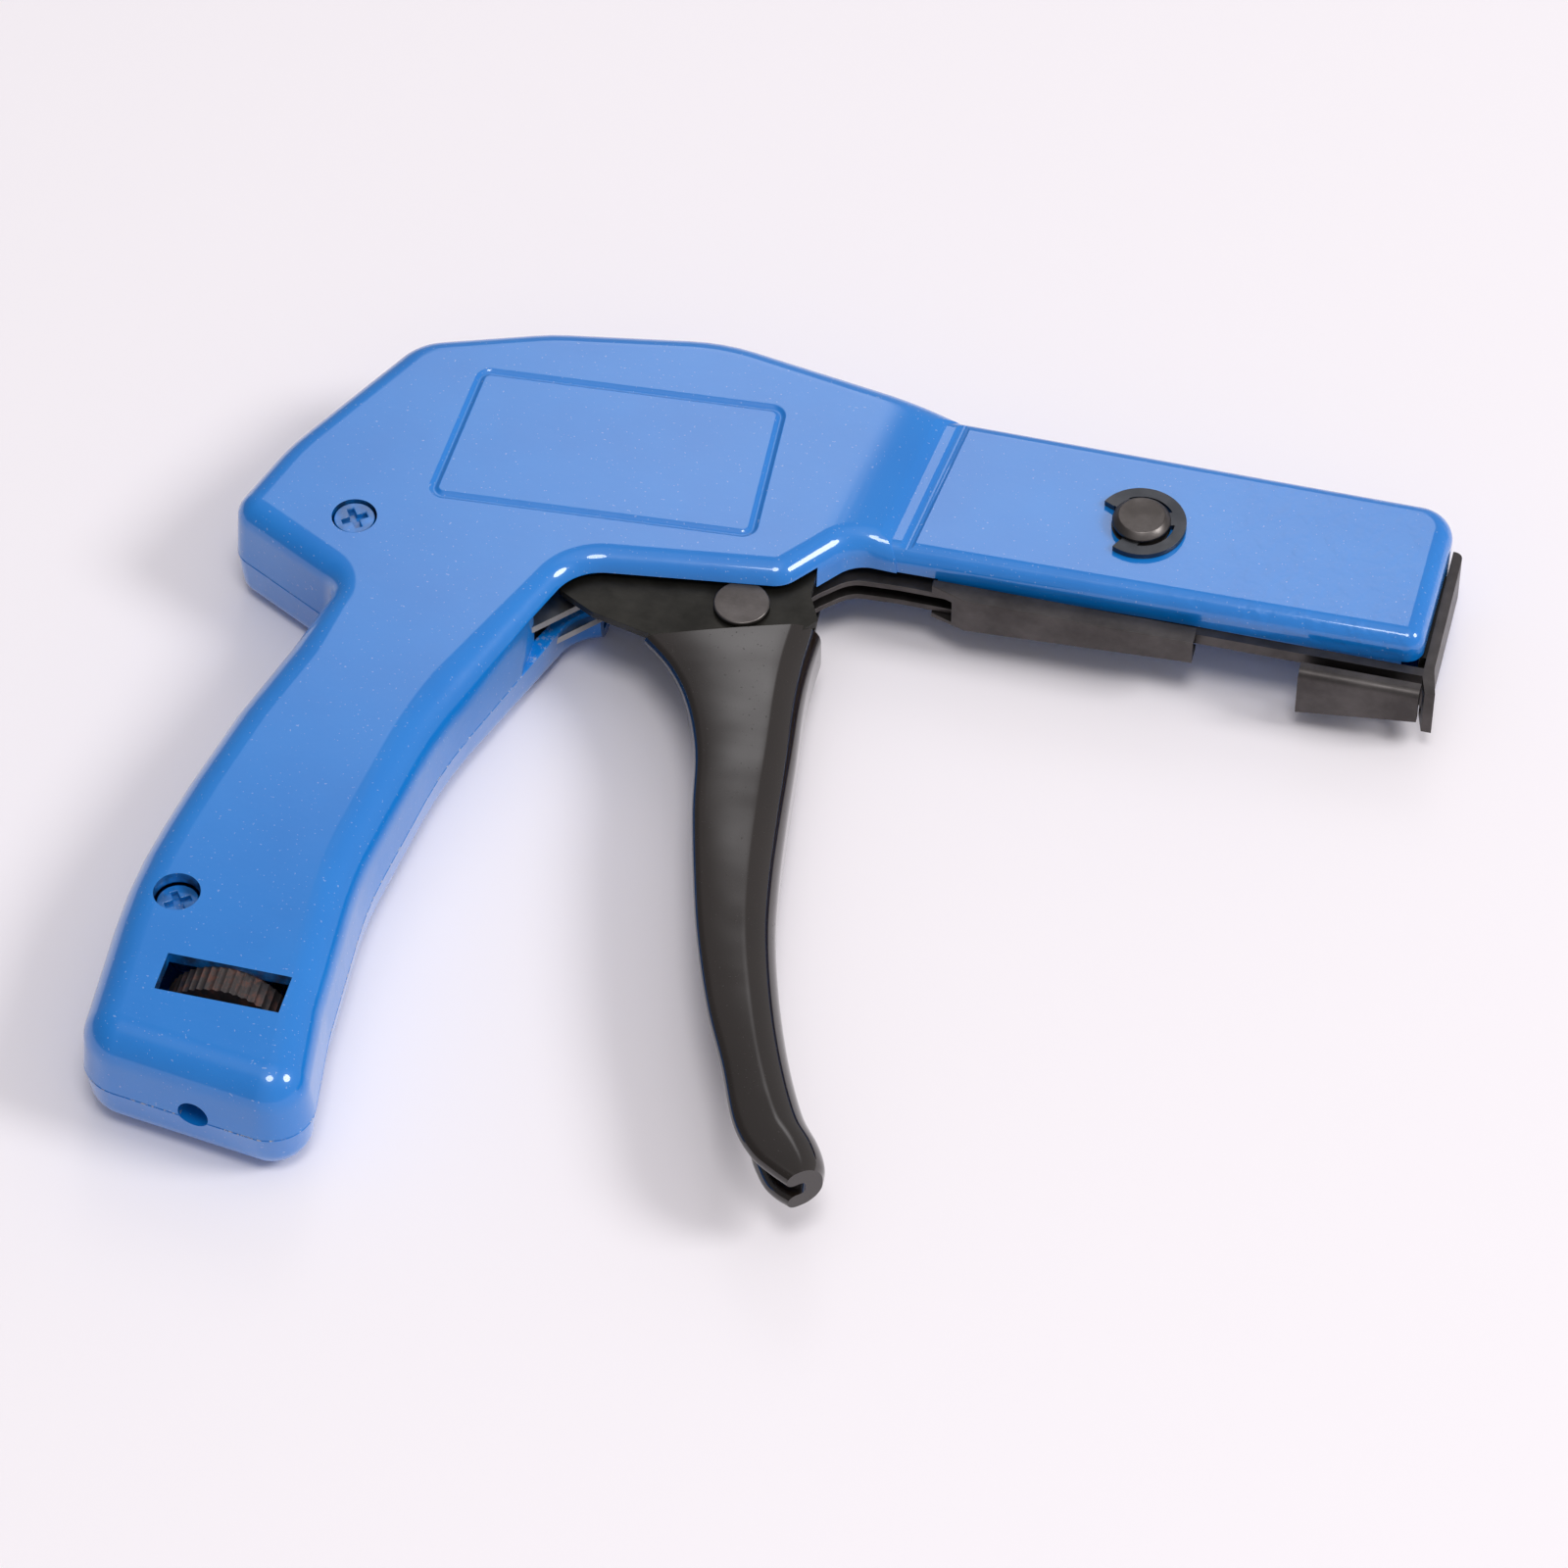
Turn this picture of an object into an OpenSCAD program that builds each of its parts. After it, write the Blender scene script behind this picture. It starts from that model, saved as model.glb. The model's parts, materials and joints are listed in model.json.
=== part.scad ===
// Cable tie tensioning tool, lying on its side.
// The origin is on the trigger's pivot axis, on the face that the tool rests on.
// +X runs along the barrel to the nose, +Y to the top of the barrel, +Z out of the upper shell.

/* [Housing] */
// Thickness of the body and handle, from resting face to upper face
body_t = 17.6; // [17.2:0.1:22]
// Height of the seam between the two shells
seam_z = 8; // [7:0.1:8.2]
// Wall of the body and the barrel
wall = 1.8; // [1.4:0.1:2]
// Wall of the handle, thicker because its edges are rounder
grip_wall = 3.2; // [3:0.1:4]
// Distance from the trigger pivot back to the end of the beak
back_reach = 72.2; // [70:0.5:80]
// Distance from the trigger pivot up to the top of the hump
body_rise = 28.3; // [27:0.5:34]
// Distance from the trigger pivot down to the butt of the handle
handle_drop = 117; // [116:0.5:130]
// Width of the handle from back to front
handle_w = 30.2; // [29:0.2:34]
// Distance from the trigger pivot back to the front edge of the handle
handle_back = 36; // [35.6:0.2:38]
// Edge radius of the body
body_edge_r = 3.4; // [2:0.1:3.6]
// Edge radius of the handle
handle_edge_r = 5; // [3:0.1:5.2]
// Lean of the side walls from the seam to the rounded edge
wall_draft = 0.4; // [0.1:0.1:0.6]

/* [Barrel] */
// Distance from the trigger pivot forward to the end of the barrel
barrel_reach = 90.9; // [86:0.5:110]
// Distance from the body's end to the trigger pivot
junction_x = 20.2; // [20:0.1:22]
// Height of the barrel's top edge over the trigger pivot
barrel_rise = 21.8; // [20:0.1:24]
// Depth of the barrel's lower edge under the trigger pivot, at the body
barrel_drop = 5.3; // [5.1:0.1:5.4]
// How much the lower edge rises towards the nose
barrel_taper = 1.3; // [0.5:0.1:1.4]
// Step from the body's face down to the barrel's face
barrel_step = 1.8; // [1:0.1:1.8]
// Edge radius of the barrel
barrel_edge_r = 2.5; // [1:0.1:2.6]

/* [Trigger] */
// Width of the folded steel trigger
trigger_w = 11.4; // [11:0.1:11.8]
// Sheet thickness of the trigger
trigger_sheet = 1.2; // [1:0.1:1.3]
// Thickness of the dipped coat
coat_t = 0.6; // [0.3:0.05:0.7]
// Distance from the trigger pivot down to the tip of the grip
grip_drop = 112; // [104:0.5:118]
// Diameter of the trigger's pivot pin
pivot_d = 6; // [5:0.1:6.5]
// Distance from the trigger pivot down to the link rivet
rivet_drop = 18.4; // [18:0.1:19]
// Diameter of the link rivet's head
rivet_head_d = 7.7; // [6:0.1:8]

/* [Gripper] */
// Width of the rail that the gripper slides along
rail_w = 1.8; // [1.4:0.1:1.9]
// Sheet thickness of the nose frame
rail_t = 1.4; // [1.2:0.1:1.5]
// Depth of the rail's lower face under the trigger pivot
rail_drop = 5.8; // [5.7:0.1:6]
// Distance from the trigger pivot forward to the gripper's rear end
carriage_x = 23.6; // [23:0.1:24]
// Distance from the gripper carriage forward to the tie guide
grip_gap = 14.7; // [13.2:0.5:18.2]
// Height of the gripper carriage under the rail's lower face
carriage_h = 2.6; // [2.4:0.1:3]
// Width of the tie slot in the front plate
slot_w = 4.8; // [4.6:0.1:5]
// Height of the tie slot
slot_h = 1.5; // [1.3:0.1:1.6]

/* [Cut-off] */
// Distance from the trigger pivot forward to the cut-off pivot
cutoff_x = 49.4; // [48.4:0.1:50.4]
// Height of the cut-off pivot over the trigger pivot
cutoff_y = 7.8; // [7.4:0.1:8.4]
// Diameter of the cut-off pivot pin
cutoff_pin_d = 8; // [7.6:0.1:8.4]
// Outer diameter of the retaining clip
clip_d = 12.3; // [11.8:0.1:13]
// Thickness of the cut-off lever
lever_t = 3.2; // [2.6:0.1:3.2]

/* [Tension adjuster] */
// Diameter of the tension rod
rod_d = 5; // [4:0.1:5.4]
// Diameter of the adjuster wheel
wheel_d = 17.4; // [16.4:0.1:17.5]
// Thickness of the adjuster wheel
wheel_t = 4.2; // [3.4:0.1:4.4]
// Distance from the butt up to the middle of the wheel
wheel_rise = 17.8; // [17:0.1:18.6]
// Outer diameter of the tension spring
spring_d = 11; // [10:0.1:11.4]
// Wire diameter of the tension spring
spring_wire = 1.8; // [1.4:0.1:2]

/* [Hidden] */

// Colours, as the photograph shows them
blue = [0.12, 0.38, 0.80];
black_steel = [0.16, 0.15, 0.14];
bright_steel = [0.62, 0.61, 0.60];
coat_black = [0.03, 0.03, 0.03];

// One overrun for all cuts, one running clearance for pins, one gap for parts that pass by
over = 1;
run_gap = 0.05;
pass_gap = 0.3;
$fn = 48;

// Levels
mid_z = body_t / 2;
barrel_top_z = body_t - barrel_step;
barrel_low_z = barrel_step;
butt_y = -handle_drop;
handle_back_x = -handle_back - handle_w;

// Degrees of turn per point on a rounded corner of an outline
arc_step = 15;

// Corner points of the body and handle, counter-clockwise, each with the radius in plan and
// the radius of the upper and lower edge there
butt_r = 6.5;
edge_room = 0.4;
toe_r = handle_edge_r + wall_draft + edge_room;
beak_r = body_edge_r + wall_draft + edge_room;
notch_r = 3.5;
crotch_r = 6.5;
hump_r = 5;
// Step all round where the barrel leaves the body
end_step = 0.5;
body_corners = [
    [-back_reach, -0.275 * back_reach, beak_r, body_edge_r],
    [-0.745 * back_reach, -0.410 * back_reach, notch_r, body_edge_r],
    [handle_back_x + 0.155 * handle_w, 0.460 * butt_y, 1.5 * handle_drop, handle_edge_r],
    [handle_back_x, 0.715 * butt_y, 0.7 * handle_drop, handle_edge_r],
    [handle_back_x + 0.060 * handle_w, 0.966 * butt_y, butt_r, handle_edge_r],
    [-handle_back + 0.135 * handle_w, 1.004 * butt_y, toe_r, handle_edge_r],
    [-handle_back + 0.045 * handle_w, 0.840 * butt_y, 0.3 * handle_drop, handle_edge_r],
    [-handle_back, 0.650 * butt_y, 0.5 * handle_drop, handle_edge_r],
    [-handle_back + 0.105 * handle_w, 0.430 * butt_y, 0.6 * handle_drop, handle_edge_r],
    [-handle_back + 0.435 * handle_w, 0.162 * butt_y, crotch_r, body_edge_r],
    [0.26 * junction_x, -0.533 * body_rise, hump_r, body_edge_r],
    [0.63 * junction_x, -0.95 * barrel_drop - end_step, hump_r, body_edge_r],
    [junction_x, -barrel_drop - end_step, 0, body_edge_r],
    [junction_x, barrel_rise + end_step, 0, body_edge_r],
    [-0.194 * back_reach, body_rise, body_rise, body_edge_r],
    [-0.526 * back_reach, 0.848 * body_rise, body_rise, body_edge_r],
    [-0.774 * back_reach, 0.622 * body_rise, 0.32 * body_rise, body_edge_r],
    [-0.942 * back_reach, -0.212 * body_rise, 1.2 * body_rise, body_edge_r],
];
// Corner points of the barrel, which reaches back into the body
barrel_root = junction_x - 4 * wall;
nose_top_r = 5;
nose_low_r = 2.6;
barrel_corners = [
    [barrel_root, -barrel_drop, 0, barrel_edge_r],
    [barrel_reach - 0.4, -barrel_drop + barrel_taper, nose_low_r, barrel_edge_r],
    [barrel_reach, barrel_rise, nose_top_r, barrel_edge_r],
    [barrel_root, barrel_rise, 0, barrel_edge_r],
];

function unit(v) = v / norm(v);
function lerp(a, b, t) = a + (b - a) * t;
function signed_turn(a) = a > 180 ? a - 360 : a < -180 ? a + 360 : a;

// One corner of an outline as points [x, y, normal x, normal y, edge radius]
function corner_points(a, b, c) =
    let (
        p = [b[0], b[1]],
        u = unit([a[0], a[1]] - p),
        w = unit([c[0], c[1]] - p),
        inner = acos(u * w),
        side = u[1] * w[0] - u[0] * w[1] >= 0 ? 1 : -1,
        n1 = [-u[1], u[0]],
        n2 = [w[1], -w[0]],
        centre = p + unit(u + w) * b[2] / sin(inner / 2),
        turn = signed_turn(atan2(n2[1], n2[0]) - atan2(n1[1], n1[0])),
        steps = max(1, ceil(abs(turn) / arc_step))
    )
    b[2] == 0
        ? [[p[0], p[1], n1[0] + n2[0], n1[1] + n2[1], b[3]]]
        : [for (i = [0:steps])
            let (ang = atan2(n1[1], n1[0]) + turn * i / steps, n = [cos(ang), sin(ang)],
                q = centre + side * b[2] * n)
            [q[0], q[1], n[0], n[1], b[3]]];

function rounded_outline(corners) =
    let (n = len(corners))
    [for (i = [0:n - 1])
        each corner_points(corners[(i + n - 1) % n], corners[i], corners[(i + 1) % n])];

body_outline = rounded_outline(body_corners);
barrel_outline = rounded_outline(barrel_corners);
// The lower shell stands back round the mouth and along the barrel, so a tie can be seen
low_edge_y = 1;
body_low_corners = [for (i = [0:len(body_corners) - 1])
    i == 10 ? [0.15 * junction_x, -0.44 * body_rise, hump_r, body_edge_r]
        : i == 11 ? [0.52 * junction_x, low_edge_y - end_step, hump_r, body_edge_r]
        : i == 12 ? [junction_x, low_edge_y - end_step, 0, body_edge_r]
        : body_corners[i]];
barrel_low_corners = [
    [barrel_root, low_edge_y, 0, barrel_edge_r],
    [barrel_reach, low_edge_y, nose_low_r, barrel_edge_r],
    [barrel_reach, barrel_rise, nose_top_r, barrel_edge_r],
    [barrel_root, barrel_rise, 0, barrel_edge_r],
];
body_low_outline = rounded_outline(body_low_corners);
barrel_low_outline = rounded_outline(barrel_low_corners);

module flat_outline(outline) {
    polygon([for (q = outline) [q[0], q[1]]]);
}

// A prism on an outline, from z0 to z1, with its far edge at z1 rounded and its wall drafted.
// way is 1 for an upper half and -1 for a lower one.
edge_steps = 4;
module rounded_half(outline, z0, z1, draft) {
    way = z1 > z0 ? 1 : -1;
    n = len(outline);
    rings = concat(
        [[for (q = outline) [q[0], q[1], z0]]],
        [for (k = [0:edge_steps])
            [for (q = outline)
                let (ang = 90 * k / edge_steps, d = draft + q[4] * (1 - cos(ang)))
                [q[0] - q[2] * d, q[1] - q[3] * d, z1 - way * q[4] * (1 - sin(ang))]]]);
    points = [for (ring = rings) each ring];
    count = len(rings);
    sides = [for (k = [0:count - 2]) for (i = [0:n - 1])
        let (a = k * n + i, b = k * n + (i + 1) % n)
        way > 0 ? [a, a + n, b + n, b] : [a, b, b + n, a + n]];
    shift = (count - 1) * n;
    first = ears(rings[0], [for (i = [0:n - 1]) i], []);
    last = ears(rings[count - 1], [for (i = [0:n - 1]) i], []);
    polyhedron(points, concat(sides,
        [for (t = first) way > 0 ? t : [t[2], t[1], t[0]]],
        [for (t = last) way > 0 ? [t[2] + shift, t[1] + shift, t[0] + shift]
            : [t[0] + shift, t[1] + shift, t[2] + shift]]));
}
// Triangles of a flat outline that turns counter-clockwise, cut off one corner at a time
function side_of(a, b, c) = (b[0] - a[0]) * (c[1] - a[1]) - (b[1] - a[1]) * (c[0] - a[0]);
function holds(a, b, c, p) = side_of(a, b, p) >= 0 && side_of(b, c, p) >= 0 && side_of(c, a, p) >= 0;
function is_ear(points, ids, k) =
    let (n = len(ids), i = (k + n - 1) % n, j = (k + 1) % n,
        a = points[ids[i]], b = points[ids[k]], c = points[ids[j]])
    side_of(a, b, c) > 0
        && len([for (m = [0:n - 1])
            if (m != i && m != j && m != k && holds(a, b, c, points[ids[m]])) m]) == 0;
function first_ear(points, ids, k) =
    k >= len(ids) || is_ear(points, ids, k) ? k % len(ids) : first_ear(points, ids, k + 1);
function ears(points, ids, done) =
    len(ids) < 3 ? done
        : let (n = len(ids), k = first_ear(points, ids, 0))
            ears(points, [for (m = [0:n - 1]) if (m != k) ids[m]],
                concat(done, [[ids[(k + n - 1) % n], ids[k], ids[(k + 1) % n]]]));

// A tube along a list of centre points, with six sides
tube_sides = 6;
steep_share = 0.9;
module tube_along(path, r) {
    n = len(path);
    rings = [for (i = [0:n - 1])
        let (d = unit(path[min(i + 1, n - 1)] - path[max(i - 1, 0)]),
            side = unit(cross(d, abs(d[2]) > steep_share ? [1, 0, 0] : [0, 0, 1])),
            up = cross(side, d))
        [for (k = [0:tube_sides - 1])
            path[i] + r * (cos(360 * k / tube_sides) * side + sin(360 * k / tube_sides) * up)]];
    points = [for (ring = rings) each ring];
    sides = [for (i = [0:n - 2]) for (k = [0:tube_sides - 1])
        let (a = i * tube_sides + k, b = i * tube_sides + (k + 1) % tube_sides)
        each [[a, a + tube_sides, b], [b, a + tube_sides, b + tube_sides]]];
    caps = [for (k = [1:tube_sides - 2])
        each [[0, k, k + 1], [for (v = [0, k + 1, k]) (n - 1) * tube_sides + v]]];
    polyhedron(points, concat(sides, caps));
}
// Centre points of a coil round +Z, with straight ends of one wire diameter
coil_steps = 8;
function coil_path(r, pitch, curls, wire) =
    let (total = curls * coil_steps,
        body = [for (i = [0:total])
            [r * cos(360 * i / coil_steps), r * sin(360 * i / coil_steps), pitch * i / coil_steps]])
    concat([body[0] - [0, wire, 0]], body, [body[total] + [0, wire, 0]]);

// A round bar from z0 to z1
module bar(d, z0, z1) {
    translate([0, 0, z0]) cylinder(d = d, h = z1 - z0);
}
// The same along +Y, from y0 to y1
module bar_y(d, y0, y1) {
    translate([0, y0, 0]) rotate([-90, 0, 0]) cylinder(d = d, h = y1 - y0);
}
module plate(z0, z1) {
    translate([0, 0, z0]) linear_extrude(z1 - z0) children();
}

// Places in plan
cutoff_at = [cutoff_x, cutoff_y];
rivet_at = [0, -rivet_drop];
rod_x = -handle_back - 0.39 * handle_w;
wheel_y = butt_y + wheel_rise;
rear_screw_at = [-0.753 * back_reach, -0.248 * back_reach];
grip_screw_at = [handle_back_x + 0.27 * handle_w, 0.744 * butt_y];
dowel_back_at = [-0.62 * back_reach, 0.42 * body_rise];
dowel_toe_at = [-handle_back - 0.09 * handle_w, 0.935 * butt_y];

// Shell fittings
screw_d = 3.4;
screw_head_d = 5.6;
screw_head_h = 1.6;
screw_sink = 0.4;
screw_sink_deep = 2;
screw_recess_d = 6.2;
post_d = 8;
dowel_d = 3;
dowel_h = 6;
dowel_post_d = 6;
boss_d = 10;
boss_h = 1.1;
ear_gap = 0.2;
screw_tip_z = 3;
screw_places = [[rear_screw_at, screw_sink], [grip_screw_at, screw_sink_deep]];
dowel_places = [dowel_back_at, dowel_toe_at];

// Trigger levels
ear_low_z = mid_z - trigger_w / 2;
ear_top_z = mid_z + trigger_w / 2;
mouth_low_z = ear_low_z - coat_t - pass_gap;
mouth_top_z = ear_top_z + coat_t + pass_gap;

// Slot for the link and the gripper in the underside
link_slot_half = 3.3;

// Hole in the butt, in line with the tension rod
butt_hole_d = 4.2;
// Wheel slot
wheel_slot_w = 16.6;
wheel_slot_h = 6;
// The wheel stands nearer to the slot's upper edge
wheel_slot_y = wheel_y - 0.15 * wheel_slot_h;
// Blank panel in the upper face
panel_groove_w = 1;
panel_groove_h = 0.35;
panel_r = 2;
panel_corner_shares = [[-0.627, 0.463], [-0.637, -0.417], [-0.010, -0.304], [-0.032, 0.569]];
panel_corners = [for (s = panel_corner_shares) [s[0] * back_reach, s[1] * body_rise, panel_r, 0]];
panel_outline = rounded_outline(panel_corners);

// Rib that carries the spring stop
stop_y = wheel_y + 0.352 * handle_drop;
stop_t = 2;
rib_t = 2.4;
rib_y = stop_y + rib_t / 2;
guide_rib_gap = 7.3;
guide_rib_y = wheel_y - guide_rib_gap;

// The body's room: the outline drawn in by its wall, and by more in the handle
module body_room(outline) {
    intersection() {
        offset(delta = -wall) flat_outline(outline);
        translate([-2 * back_reach, -0.24 * handle_drop]) square([4 * back_reach, handle_drop]);
    }
    intersection() {
        offset(delta = -grip_wall) flat_outline(outline);
        translate([-2 * back_reach, butt_y]) square([4 * back_reach, 0.78 * handle_drop]);
    }
}
// The trigger's mouth in plan
mouth_back_x = -0.376 * back_reach;
mouth_step_x = -0.277 * back_reach;
mouth_front_x = 0.42 * junction_x;
module mouth_plan(back_x, top_y) {
    translate([back_x, -0.30 * handle_drop])
        square([mouth_front_x - back_x, 0.30 * handle_drop + top_y]);
}
// Everything that is hollow in both shells
module shell_hollow(body, barrel) {
    plate(wall, body_t - wall) body_room(body);
    plate(barrel_low_z + wall, barrel_top_z - wall) offset(delta = -wall) flat_outline(barrel);
    plate(mouth_low_z, mouth_top_z) mouth_plan(mouth_step_x, -0.28 * body_rise);
    plate(seam_z, mouth_top_z) mouth_plan(mouth_back_x, -0.28 * body_rise);
    // the lower shell's mouth is open right down, and the far ear turns inside its sloping wall
    plate(-over, seam_z) mouth_plan(mouth_step_x, -0.47 * body_rise);
    plate(mouth_low_z, seam_z) translate([0, -0.3 * body_rise])
        square([mouth_front_x, 0.29 * body_rise]);
    plate(mid_z - link_slot_half, mid_z + link_slot_half)
        translate([0, -0.6 * body_rise]) square([carriage_x + over / 2, 0.75 * body_rise]);
    plate(seam_z - over, rail_top_z + pass_gap / 2)
        translate([junction_x, -2 * barrel_drop]) square([barrel_reach, 3 * barrel_drop]);
    plate(front_low_z, rail_top_z + pass_gap / 2)
        translate([barrel_reach - 2 * wall, -2 * barrel_drop])
            square([2 * barrel_reach, 2 * barrel_drop + side_top_y + pass_gap]);
    translate([rod_x, 0, mid_z]) bar_y(butt_hole_d, butt_y - over, 0.9 * butt_y);
    plate(strip_low_z - pass_gap, strip_top_z + strip_t + pass_gap) strip_band(strip_w + 2 * pass_gap);
}
// Posts, bosses and ribs inside, between two levels
module shell_inner(z0, z1, body) {
    intersection() {
        union() {
            for (p = screw_places) translate(p[0]) bar(post_d, 0, body_t);
            for (p = dowel_places) translate(p) bar(dowel_post_d, 0, body_t);
            bar(boss_d, 0, ear_low_z - ear_gap);
            bar(boss_d, ear_top_z + ear_gap, body_t);
            for (y = [rib_y, guide_rib_y])
                plate(0, body_t) intersection() {
                    flat_outline(body);
                    translate([-2 * back_reach, y - rib_t / 2]) square([2 * back_reach, rib_t]);
                }
        }
        plate(z0, z1) offset(delta = -0.75 * grip_wall) flat_outline(body);
        plate(grip_wall / 2, body_t - grip_wall / 2) square(4 * handle_drop, center = true);
    }
}
module shell_holes() {
    for (p = screw_places) translate(p[0]) {
        bar(screw_d + 2 * run_gap, screw_tip_z - pass_gap, body_t + over);
        bar(screw_recess_d, body_t - p[1] - screw_head_h, body_t + over);
    }
    for (p = dowel_places) translate(p)
        bar(dowel_d + 2 * run_gap, seam_z - dowel_h / 2 - pass_gap, seam_z + dowel_h / 2 + pass_gap);
    bar(pivot_d + 2 * run_gap, pivot_low_z - run_gap, pivot_top_z + run_gap);
    translate(cutoff_at) bar(cutoff_pin_d + 2 * run_gap, -over, body_t + over);
    translate([rod_x, 0, mid_z]) bar_y(rod_d + 2 * pass_gap, guide_rib_y - rib_t, rib_y + rib_t);
}
// Trigger pivot pin, held blind in both shells
pin_bury = 1;
pivot_low_z = wall - pin_bury;
pivot_top_z = body_t - wall + pin_bury;

module housing_upper() {
    color(blue) difference() {
        union() {
            difference() {
                union() {
                    rounded_half(body_outline, seam_z, body_t, wall_draft);
                    rounded_half(barrel_outline, seam_z, barrel_top_z, 0);
                }
                shell_hollow(body_outline, barrel_outline);
                body_end_ramp(1);
            }
            shell_inner(seam_z, body_t, body_outline);
        }
        shell_holes();
        translate([0, 0, body_t - panel_groove_h]) linear_extrude(panel_groove_h + over)
            difference() {
                flat_outline(panel_outline);
                offset(delta = -panel_groove_w) flat_outline(panel_outline);
            }
        wheel_slot();
    }
}
module housing_lower() {
    color(blue) difference() {
        union() {
            difference() {
                union() {
                    rounded_half(body_low_outline, seam_z, 0, wall_draft);
                    rounded_half(barrel_low_outline, seam_z, barrel_low_z, 0);
                }
                shell_hollow(body_low_outline, barrel_low_outline);
                body_end_ramp(-1);
            }
            shell_inner(0, seam_z, body_low_outline);
        }
        shell_holes();
        wheel_slot();
    }
}
module wheel_slot() {
    translate([rod_x - wheel_slot_w / 2, wheel_slot_y - wheel_slot_h / 2, -over])
        cube([wheel_slot_w, wheel_slot_h, body_t + 2 * over]);
}
// The body's last stretch bends down to the barrel's face: a round cut along Y
ramp_len = 12;
ramp_rise = 0.02;
ramp_drop = barrel_step - 0.3;
ramp_r = (ramp_len * ramp_len + ramp_drop * ramp_drop) / (2 * ramp_drop);
module body_end_ramp(way) {
    face_z = way > 0 ? body_t : 0;
    translate([junction_x - ramp_len, 0, face_z - way * (ramp_r - ramp_rise)])
        rotate([90, 0, 0])
            linear_extrude(4 * body_rise, center = true)
                difference() {
                    translate([0, way > 0 ? ramp_r - 2 * ramp_drop : -ramp_r - 2 * ramp_drop])
                        square([ramp_len + over, 4 * ramp_drop]);
                    circle(r = ramp_r);
                }
}

// Two machine screws with a cross recess, and two dowels across the seam
cross_w = 0.9;
cross_len = 3.6;
cross_h = 0.8;
module shell_screws() {
    color(blue) for (p = screw_places) translate(p[0]) {
        top_z = body_t - p[1];
        difference() {
            union() {
                bar(screw_head_d, top_z - screw_head_h, top_z);
                bar(screw_d, screw_tip_z, top_z - over / 2);
            }
            for (a = [35, 125]) rotate(a)
                translate([-cross_len / 2, -cross_w / 2, top_z - cross_h])
                    cube([cross_len, cross_w, cross_h + over]);
        }
    }
}
module locating_dowels() {
    color(bright_steel) for (p = dowel_places) translate(p)
        bar(dowel_d, seam_z - dowel_h / 2, seam_z + dowel_h / 2);
}

// Trigger: the grip is a channel swept along stations. Its near wall is deep and its far wall
// shallow. Shares of the grip's drop: web x and y, near lip x and y; then the share of the width
// by which the far wall draws in, and the share of the depth that the far wall has.
grip_shares = [
    [0.100, -0.170, -0.101, -0.241, 0, 0.60], [0.101, -0.223, -0.062, -0.276, 0, 0.56],
    [0.106, -0.281, -0.028, -0.325, 0, 0.52], [0.118, -0.366, 0.001, -0.397, 0, 0.46],
    [0.130, -0.460, 0.021, -0.487, 0, 0.40], [0.143, -0.549, 0.047, -0.583, 0, 0.38],
    [0.160, -0.634, 0.074, -0.671, 0, 0.36], [0.186, -0.721, 0.110, -0.766, 0.04, 0.34],
    [0.218, -0.806, 0.148, -0.846, 0.12, 0.40], [0.252, -0.877, 0.181, -0.922, 0.24, 0.55],
    [0.281, -0.918, 0.211, -0.961, 0.36, 0.75], [0.295, -0.946, 0.239, -0.980, 0.44, 0.90],
];
tip_shares = [0.297, -0.964, 0.262, -0.992, 0.50, 0.95];
function station(s) = [s[0] * grip_drop, s[1] * grip_drop, s[2] * grip_drop, s[3] * grip_drop,
    s[4], s[5]];
grip_stations = [for (s = grip_shares) station(s)];
tip_station = station(tip_shares);
grip_bend_r = 3.6;
bend_share = 0.45;
bend_steps = 4;
function bend(cx, cy, r, a0, a1) =
    [for (k = [0:bend_steps]) let (a = lerp(a0, a1, k / bend_steps)) [cx + r * cos(a), cy + r * sin(a)]];
// The section at one station in space, grown by a skin all round, as one loop
function station_ring(s, skin) =
    let (web = [s[0], s[1]], lip = [s[2], s[3]], d = unit(lip - web),
        depth = norm(lip - web) - 2 * coat_t + 2 * skin,
        top = ear_top_z + skin,
        low = ear_low_z + s[4] * trigger_w - skin,
        t = trigger_sheet + 2 * skin,
        r = min(grip_bend_r + skin, bend_share * (top - low)),
        q = max(r - t, 0.2 * r),
        far = lerp(r, depth, s[5]),
        section = concat(
            [[depth, top]], bend(r, top - r, r, 90, 180), bend(r, low + r, r, 180, 270), [[far, low]],
            [[far, low + t]], bend(t + q, low + t + q, q, 270, 180),
            bend(t + q, top - t - q, q, 180, 90), [[depth, top - t]]))
    [for (p = section)
        let (m = web + d * (p[0] + coat_t - skin)) [m[0], m[1], p[1]]];
function ring_sides(n, count) =
    [for (k = [0:count - 2]) for (i = [0:n - 1])
        let (a = k * n + i, b = k * n + (i + 1) % n)
        each [[a, b, a + n], [b, b + n, a + n]]];
function ring_cap(n) =
    [for (i = [0:n / 2 - 2])
        let (a = i, b = i + 1, c = n - 1 - i, d = n - 2 - i)
        each [[a, c, b], [b, c, d]]];
function flipped(faces, shift) = [for (f = faces) [f[2] + shift, f[1] + shift, f[0] + shift]];
// The steel channel of the grip
module channel_sweep() {
    rings = [for (s = grip_stations) station_ring(s, 0)];
    n = len(rings[0]);
    count = len(rings);
    polyhedron([for (ring = rings) each ring],
        concat(ring_sides(n, count), ring_cap(n), flipped(ring_cap(n), (count - 1) * n)));
}
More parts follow.
